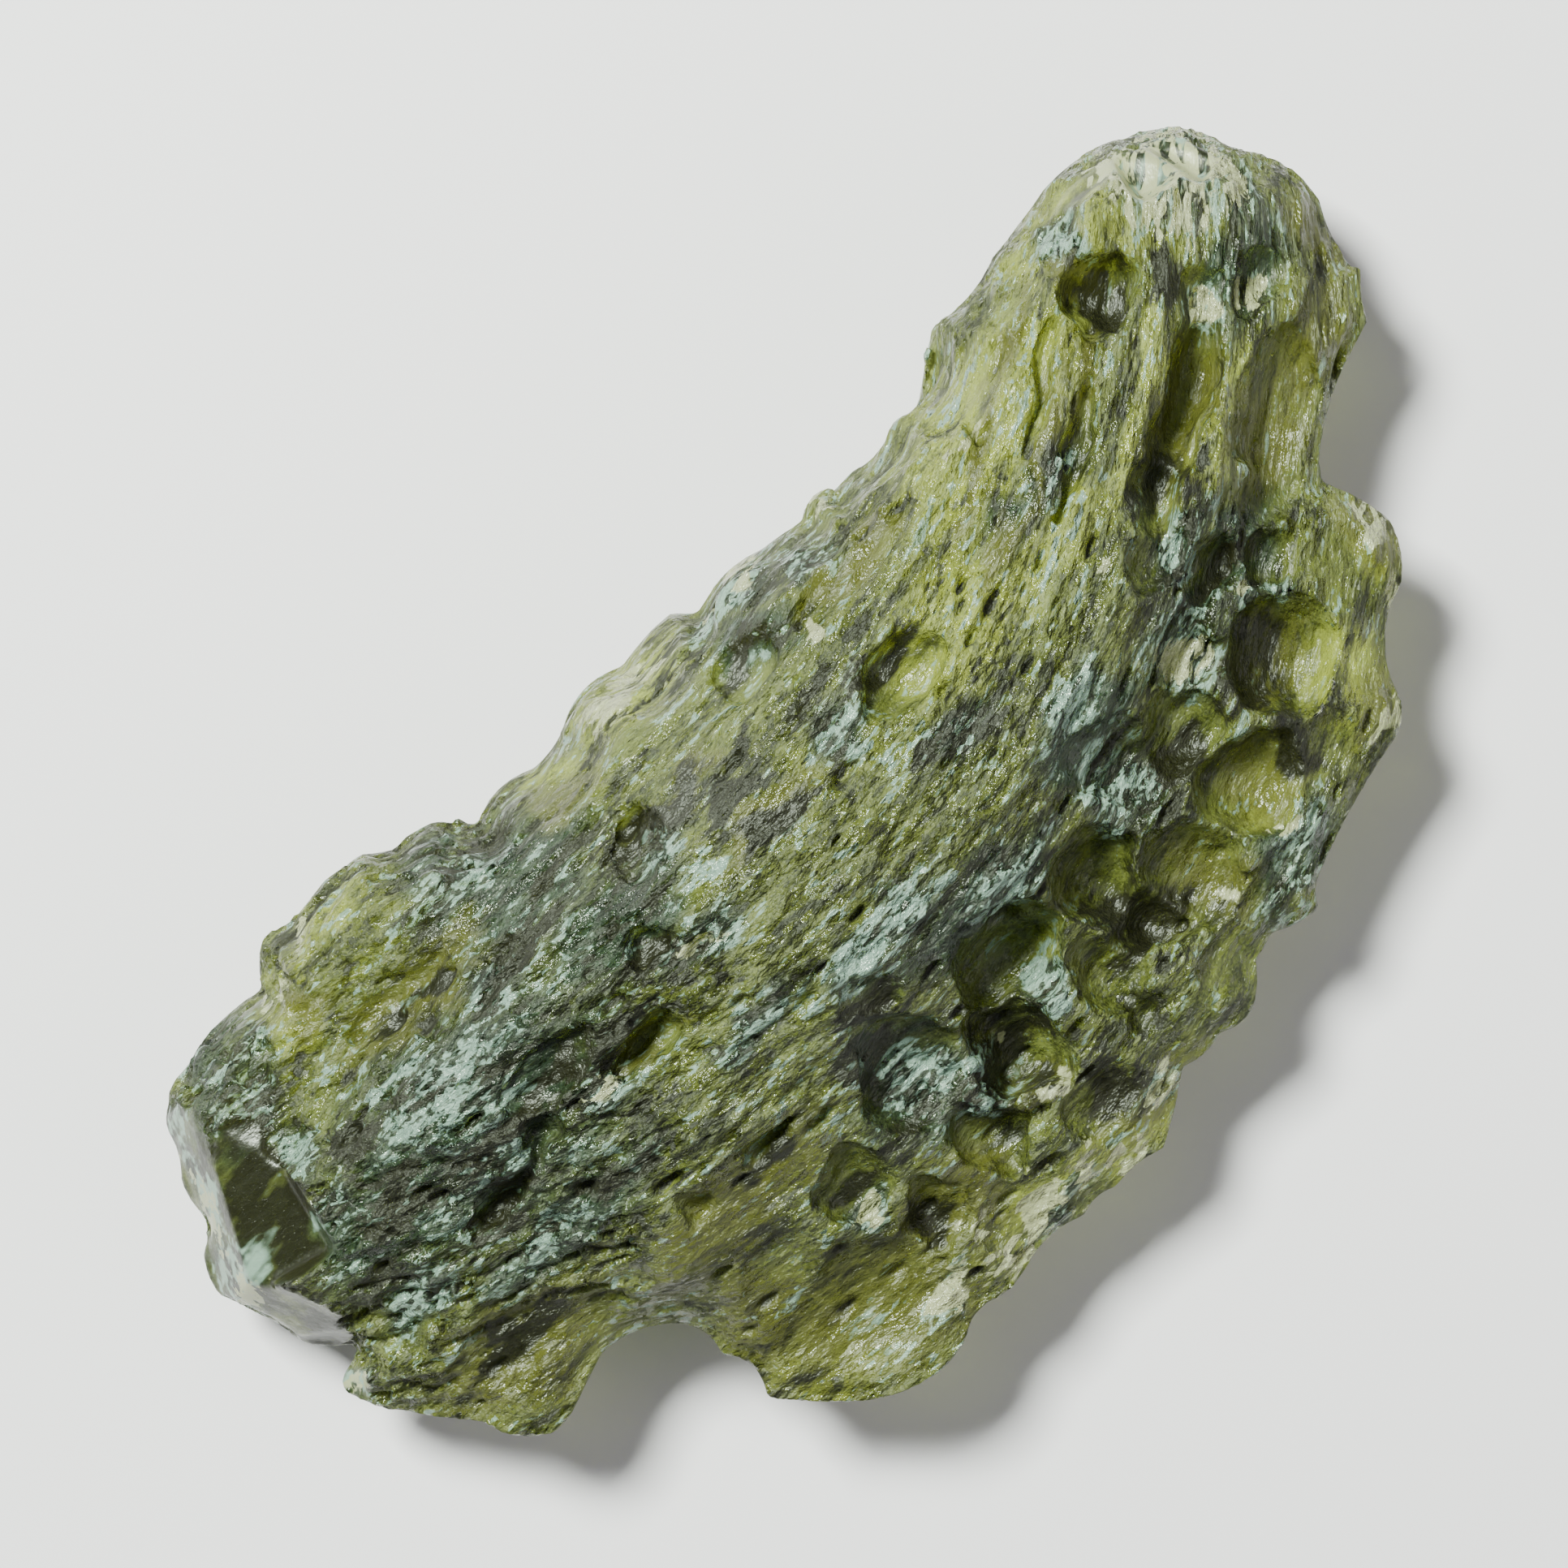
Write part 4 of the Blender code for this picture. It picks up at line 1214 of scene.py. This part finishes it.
    def cells(self, place: bpy.types.NodeSocket, speck: Speck) -> bpy.types.NodeSocket:
        """Cups of the specks' size, from 0 at the floor.

        Args:
            place: where to look them up.
            speck: the specks.

        Returns:
            Their height.
        """
        node = self.add("ShaderNodeTexVoronoi")
        self.feed(node.inputs["Vector"], self.stretched(place, speck))
        node.inputs["Scale"].default_value = 1.0
        return node.outputs["Distance"]

    def facets(
        self, place: bpy.types.NodeSocket, speck: Speck
    ) -> tuple[bpy.types.NodeSocket, bpy.types.NodeSocket]:
        """Flat faces of the specks' size, each with a tilt of its own.

        Args:
            place: where to look them up.
            speck: the specks.

        Returns:
            Their height, and a number of each face's own from 0 to 1.
        """
        place = self.stretched(place, speck)
        node = self.add("ShaderNodeTexVoronoi")
        self.feed(node.inputs["Vector"], place)
        node.inputs["Scale"].default_value = 1.0
        tilt = self.add("ShaderNodeVectorMath", operation="SUBTRACT")
        self.feed(tilt.inputs[0], node.outputs["Color"])
        tilt.inputs[1].default_value = (0.5, 0.5, 0.5)
        offset = self.add("ShaderNodeVectorMath", operation="SUBTRACT")
        self.feed(offset.inputs[0], place)
        self.feed(offset.inputs[1], node.outputs["Position"])
        height = self.add("ShaderNodeVectorMath", operation="DOT_PRODUCT")
        self.feed(height.inputs[0], tilt.outputs[0])
        self.feed(height.inputs[1], offset.outputs[0])
        draw = self.add("ShaderNodeSeparateColor")
        self.feed(draw.inputs[0], node.outputs["Color"])
        return height.outputs["Value"], draw.outputs[2]

    def bump(self, height: object, depth: float, under: object = None) -> bpy.types.NodeSocket:
        """The skin's direction with this height on it, on top of another bump.

        Args:
            height: the height.
            depth: what a height of 1 comes to, in metres.
            under: the bump below it.

        Returns:
            The direction.
        """
        node = self.add("ShaderNodeBump")
        node.inputs["Strength"].default_value = 1.0
        node.inputs["Distance"].default_value = depth
        self.feed(node.inputs["Height"], height)
        if under is not None:
            self.feed(node.inputs["Normal"], under)
        return node.outputs[0]


@dataclass(frozen=True)
class EtchedGlass:
    """Olive green natural glass under an etched, satin skin.

    Attributes:
        body: colour of the skin.
        shade: its colour on the faces that catch the least light.
        pale: its pale yellow green, painted light caught in the thin glass and on lit crests.
        shaded_slate: its slaty grey, partly the etched skin's own grey and partly painted shade.
        slate_shade: the same on the faces that catch the least light.
        frost_and_sheen: its colour where it is frosted, with a painted bluish sheen on the crests and crest
            lines.
        painted_glint: painted glints, near white, on single facets where the key light would glint.
        warm: its colour where it is smooth and lets the yellow glass show.
        deep: painted shade, dark brown, in the pits and hollows and on the walls of the bowls.
        absorption: colour of the light that the glass lets through.
        density: how strongly it takes up light, per metre.
        clearness: how much light goes through the skin.
        refraction: how strongly the glass bends light.
        smooth_roughness: roughness of the smooth places.
        etched_roughness: roughness of the etched places.
        gloss: how much less rough the sharpest facets are.
        least_roughness: the least roughness anywhere.
        clusters: broad groups of lighter and darker specks.
        streaks: streaks along the flow.
        flecks: small flecks.
        grain: the finest grain.
        cups: tiny cups.
        facets: small flat faces.
        fine_facets: the smallest flat faces.
        flow: the glass's flow, which the specks follow.
    """

    body: Colour = (0.33, 0.37, 0.085)
    shade: Colour = (0.058, 0.070, 0.016)
    pale: Colour = (0.76, 0.82, 0.13)
    shaded_slate: Colour = (0.088, 0.138, 0.080)
    slate_shade: Colour = (0.014, 0.024, 0.011)
    frost_and_sheen: Colour = (0.62, 0.88, 0.78)
    painted_glint: Colour = (0.99, 0.99, 0.62)
    warm: Colour = (0.225, 0.225, 0.045)
    deep: Colour = (0.026, 0.025, 0.005)
    absorption: Colour = (0.67, 0.69, 0.085)
    density: float = 360.0
    clearness: float = 0.74
    refraction: float = 1.49
    smooth_roughness: float = 0.34
    etched_roughness: float = 0.62
    gloss: float = 0.45
    least_roughness: float = 0.12
    clusters: Speck = Speck(3.0, 0.0008)
    streaks: Speck = Speck(6.0, 0.00035)
    flecks: Speck = Speck(3.0, 0.00012)
    grain: Speck = Speck(1.5, 0.00005, 0.00005)
    cups: Speck = Speck(2.5, 0.00014, 0.00006)
    facets: Speck = Speck(2.6, 0.00026, 0.00018)
    fine_facets: Speck = Speck(2.4, 0.00010, 0.00008)
    flow: Flow = Flow()

    def material(self) -> bpy.types.Material:
        """Builds the material.

        Returns:
            The material.
        """
        sheet = NodeSheet("etched glass")
        place = sheet.flow_place(self.flow)
        etched = sheet.math("SUBTRACT", 1.0, sheet.attribute("smooth"))
        grain = sheet.noise(place, self.grain, 1.0)
        tilt, draw = sheet.facets(place, self.facets)
        fine_tilt, fine_draw = sheet.facets(place, self.fine_facets)

        colour, painted_glint, deep = self._colour(sheet, place, etched, grain, draw, fine_draw)
        sheet.feed(sheet.shader.inputs["Base Color"], colour)
        sharp = sheet.math("MAXIMUM", sheet.span(draw, 0.6, 0.75), sheet.span(fine_draw, 0.7, 0.8))
        sharp = sheet.math("MULTIPLY", sheet.math("MAXIMUM", sharp, painted_glint), etched)
        sharp = sheet.math("MULTIPLY", sharp, sheet.math("SUBTRACT", 1.0, deep))
        roughness = sheet.span(etched, 0.2, 1.0, self.smooth_roughness, self.etched_roughness)
        roughness = sheet.math("MAXIMUM", sheet.added(sharp, -self.gloss, roughness), self.least_roughness)
        sheet.feed(sheet.shader.inputs["Roughness"], roughness)

        sheet.shader.inputs["IOR"].default_value = self.refraction
        sheet.shader.inputs["Metallic"].default_value = 0.0
        sheet.shader.inputs["Transmission Weight"].default_value = self.clearness

        skin = None
        cups = sheet.cells(place, self.cups)
        heights = ((grain, self.grain), (cups, self.cups), (fine_tilt, self.fine_facets), (tilt, self.facets))
        for height, speck in heights:
            skin = sheet.bump(sheet.math("MULTIPLY", height, etched), speck.depth, skin)
        sheet.feed(sheet.shader.inputs["Normal"], skin)

        depth = sheet.add("ShaderNodeVolumeAbsorption")
        depth.inputs["Color"].default_value = (*self.absorption, 1.0)
        depth.inputs["Density"].default_value = self.density
        sheet.feed(sheet.output.inputs["Volume"], depth.outputs[0])
        return sheet.material

    def _colour(
        self, sheet: NodeSheet, place: bpy.types.NodeSocket, etched: bpy.types.NodeSocket,
        grain: bpy.types.NodeSocket, draw: bpy.types.NodeSocket, fine_draw: bpy.types.NodeSocket,
    ) -> tuple[bpy.types.NodeSocket, bpy.types.NodeSocket, bpy.types.NodeSocket]:
        """The skin's colour, with painted light, glints, sheen and shade in it.

        Args:
            sheet: the material's nodes.
            place: places along the flow.
            etched: how etched each place is.
            grain: the finest grain.
            draw: a number of each small face's own.
            fine_draw: the same of each of the smallest faces.

        Returns:
            The colour, how strongly glints are painted on the facets, and how much painted shade the pits
            get.
        """
        crest = sheet.attribute("crest")
        frosted = sheet.attribute(Look.FROSTED.value)
        clusters = sheet.mottle(place, self.clusters)
        streaks = sheet.mottle(place, self.streaks)
        flecks = sheet.mottle(place, self.flecks, 3.0)
        chance, fine_chance = (sheet.math("SUBTRACT", number, 0.5) for number in (draw, fine_draw))
        loose = sheet.added(fine_chance, 0.6, sheet.math("MULTIPLY", flecks, 0.6))
        loose = sheet.math("MULTIPLY", sheet.added(chance, 0.4, loose), etched)
        loose = sheet.added(streaks, 0.6, loose)
        spread = sheet.math("ADD", clusters, loose)

        # painted light: pale yellow green for light caught in the thin glass and on lit crests
        pale = sheet.span(sheet.added(clusters, 0.5, sheet.attribute(Look.PAINTED_LIGHT.value)), 0.0, 0.8)
        # slaty grey of the etched skin, with painted shade on the broad end
        shaded_slate = sheet.added(clusters, 0.5, sheet.attribute(Look.SHADED_SLATE.value))
        shaded_slate = sheet.span(sheet.math("MAXIMUM", shaded_slate, frosted), 0.0, 0.8)
        lit = sheet.mix(shaded_slate, sheet.mix(pale, self.body, self.pale), self.shaded_slate)
        unlit = sheet.mix(shaded_slate, sheet.mix(pale, self.shade, self.body), self.slate_shade)
        colour = sheet.mix(sheet.span(sheet.added(grain, 1.4, spread), 0.2, 1.2), unlit, lit)

        warm = sheet.added(flecks, 0.6, sheet.attribute(Look.CLEAR.value))
        colour = sheet.mix(sheet.span(warm, 0.1, 0.9, 0.0, 0.9), colour, self.warm)

        # frosted grey, with a painted bluish sheen on the crests and crest lines
        frost_and_sheen_share = sheet.added(crest, 0.35, sheet.math("MULTIPLY", frosted, 0.48))
        frost_and_sheen_share = sheet.math("MAXIMUM", frost_and_sheen_share, sheet.math("MULTIPLY", sheet.attribute("crest line"), 0.6))
        frost_and_sheen_share = sheet.added(sheet.math("MULTIPLY", frosted, sheet.attribute("smooth")), 0.05, frost_and_sheen_share)
        frost_and_sheen_share = sheet.added(clusters, 0.4, sheet.math("ADD", frost_and_sheen_share, loose))
        colour = sheet.mix(sheet.span(frost_and_sheen_share, 0.52, 0.72), colour, self.frost_and_sheen)

        # painted shade: dark brown in the hollows and on the patches of painted shade
        pit = sheet.math("MULTIPLY", sheet.math("SUBTRACT", 0.5, crest), etched)
        deep = sheet.added(sheet.attribute(Look.PAINTED_SHADE.value), 1.25, sheet.math("MULTIPLY", pit, 1.5))
        deep = sheet.span(sheet.math("SUBTRACT", deep, spread), 0.2, 0.8)
        colour = sheet.mix(deep, colour, self.deep)

        # painted glints: near white on single facets and on the glint patches
        painted_glint = sheet.added(chance, 0.7, sheet.math("MULTIPLY", flecks, 0.4))
        painted_glint = sheet.added(sheet.attribute(Look.PAINTED_GLINTS.value), 0.78, painted_glint)
        painted_glint = sheet.span(painted_glint, 0.50, 0.65)
        return sheet.mix(painted_glint, colour, self.painted_glint), painted_glint, deep


@dataclass(frozen=True)
class PaleFloor:
    """A plain pale floor under the stone.

    Attributes:
        colour: its colour.
        roughness: its roughness.
        size: its side, in metres.
    """

    colour: Colour = (0.742, 0.675, 0.778)
    roughness: float = 0.6
    size: float = 4.0

    def build(self) -> bpy.types.Object:
        """Makes the floor.

        Returns:
            The floor's object.
        """
        mesh = bmesh.new()
        bmesh.ops.create_grid(mesh, x_segments=1, y_segments=1, size=self.size / 2)
        data = bpy.data.meshes.new("floor")
        mesh.to_mesh(data)
        mesh.free()
        floor = bpy.data.objects.new("floor", data)
        bpy.context.scene.collection.objects.link(floor)
        sheet = NodeSheet("pale floor")
        sheet.shader.inputs["Base Color"].default_value = (*self.colour, 1.0)
        sheet.shader.inputs["Roughness"].default_value = self.roughness
        floor.data.materials.append(sheet.material)
        return floor


@dataclass(frozen=True)
class Softbox:
    """A square soft light.

    Attributes:
        name: what the light is for.
        bearing: where it stands round the stone, in degrees anticlockwise from +X.
        elevation: how high it stands, in degrees.
        distance: how far off it is, in metres.
        size: its side, in metres.
        power: its power in watts.
        colour: its colour.
    """

    name: str
    bearing: float
    elevation: float
    distance: float
    size: float
    power: float
    colour: Colour = (1.0, 1.0, 1.0)

    def build(self) -> bpy.types.Object:
        """Makes the light, turned to the stone.

        Returns:
            The light's object.
        """
        lamp = bpy.data.lights.new(self.name, "AREA")
        lamp.size = self.size
        lamp.energy = self.power
        lamp.color = self.colour
        light = bpy.data.objects.new(self.name, lamp)
        bpy.context.scene.collection.objects.link(light)
        bearing, elevation = math.radians(self.bearing), math.radians(self.elevation)
        level = Vector((math.cos(bearing), math.sin(bearing), 0.0))
        direction = math.cos(elevation) * level + Vector((0.0, 0.0, math.sin(elevation)))
        light.location = self.distance * direction
        light.rotation_euler = direction.to_track_quat("Z", "Y").to_euler()
        return light


@dataclass(frozen=True)
class Studio:
    """Floor, lights and camera.

    Attributes:
        floor: the floor.
        softboxes: the lights.
        sky: colour of the light from all round.
        sky_strength: its strength.
        lens: the camera's focal length in millimetres.
        frame_width: how much of the floor plane's width the picture shows, in metres.
        turn: how far the camera is turned about the upright, in degrees.
        middle: the place in the middle of the picture, in metres.
    """

    floor: PaleFloor = PaleFloor()
    softboxes: tuple[Softbox, ...] = (
        Softbox("key", 92.0, 56.0, 0.30, 0.08, 3.6, (0.88, 1.0, 0.82)),
        Softbox("fill", -60.0, 35.0, 0.40, 0.30, 0.5, (1.0, 0.98, 0.92)),
    )
    sky: Colour = (0.78, 0.92, 0.94)
    sky_strength: float = 0.18
    lens: float = 150.0
    frame_width: float = 0.03427
    turn: float = -46.0
    middle: tuple[float, float, float] = (-0.00036, 0.00279, 0.0026)

    def build(self) -> None:
        """Sets the stage up and points the camera down at the stone."""
        self.floor.build()
        for softbox in self.softboxes:
            softbox.build()
        world = bpy.data.worlds.new("studio")
        bpy.context.scene.world = world
        world.use_nodes = True
        background = world.node_tree.nodes["Background"]
        background.inputs["Color"].default_value = (*self.sky, 1.0)
        background.inputs["Strength"].default_value = self.sky_strength
        self._camera()

    def _camera(self) -> None:
        """Makes the camera."""
        data = bpy.data.cameras.new("camera")
        data.lens = self.lens
        data.clip_start = 0.01
        camera = bpy.data.objects.new("camera", data)
        bpy.context.scene.collection.objects.link(camera)
        distance = self.frame_width * self.lens / data.sensor_width
        camera.location = Vector(self.middle) + Vector((0.0, 0.0, distance))
        camera.rotation_euler = (0.0, 0.0, math.radians(self.turn))
        bpy.context.scene.camera = camera


def main() -> None:
    """Builds the stone and its studio."""
    logging.basicConfig(level=logging.INFO, format="%(name)s: %(message)s")
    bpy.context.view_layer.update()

    stone = Stone().build()
    stone.name = "etched_stone"
    stone.data.materials.clear()
    stone.data.materials.append(EtchedGlass().material())
    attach(stone, "root")
    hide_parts(NODE)
    LOG.info("stone: %d faces", len(stone.data.polygons))

    Studio().build()
    LOG.info("studio: floor, lights and camera")


if __name__ == "__main__":
    main()
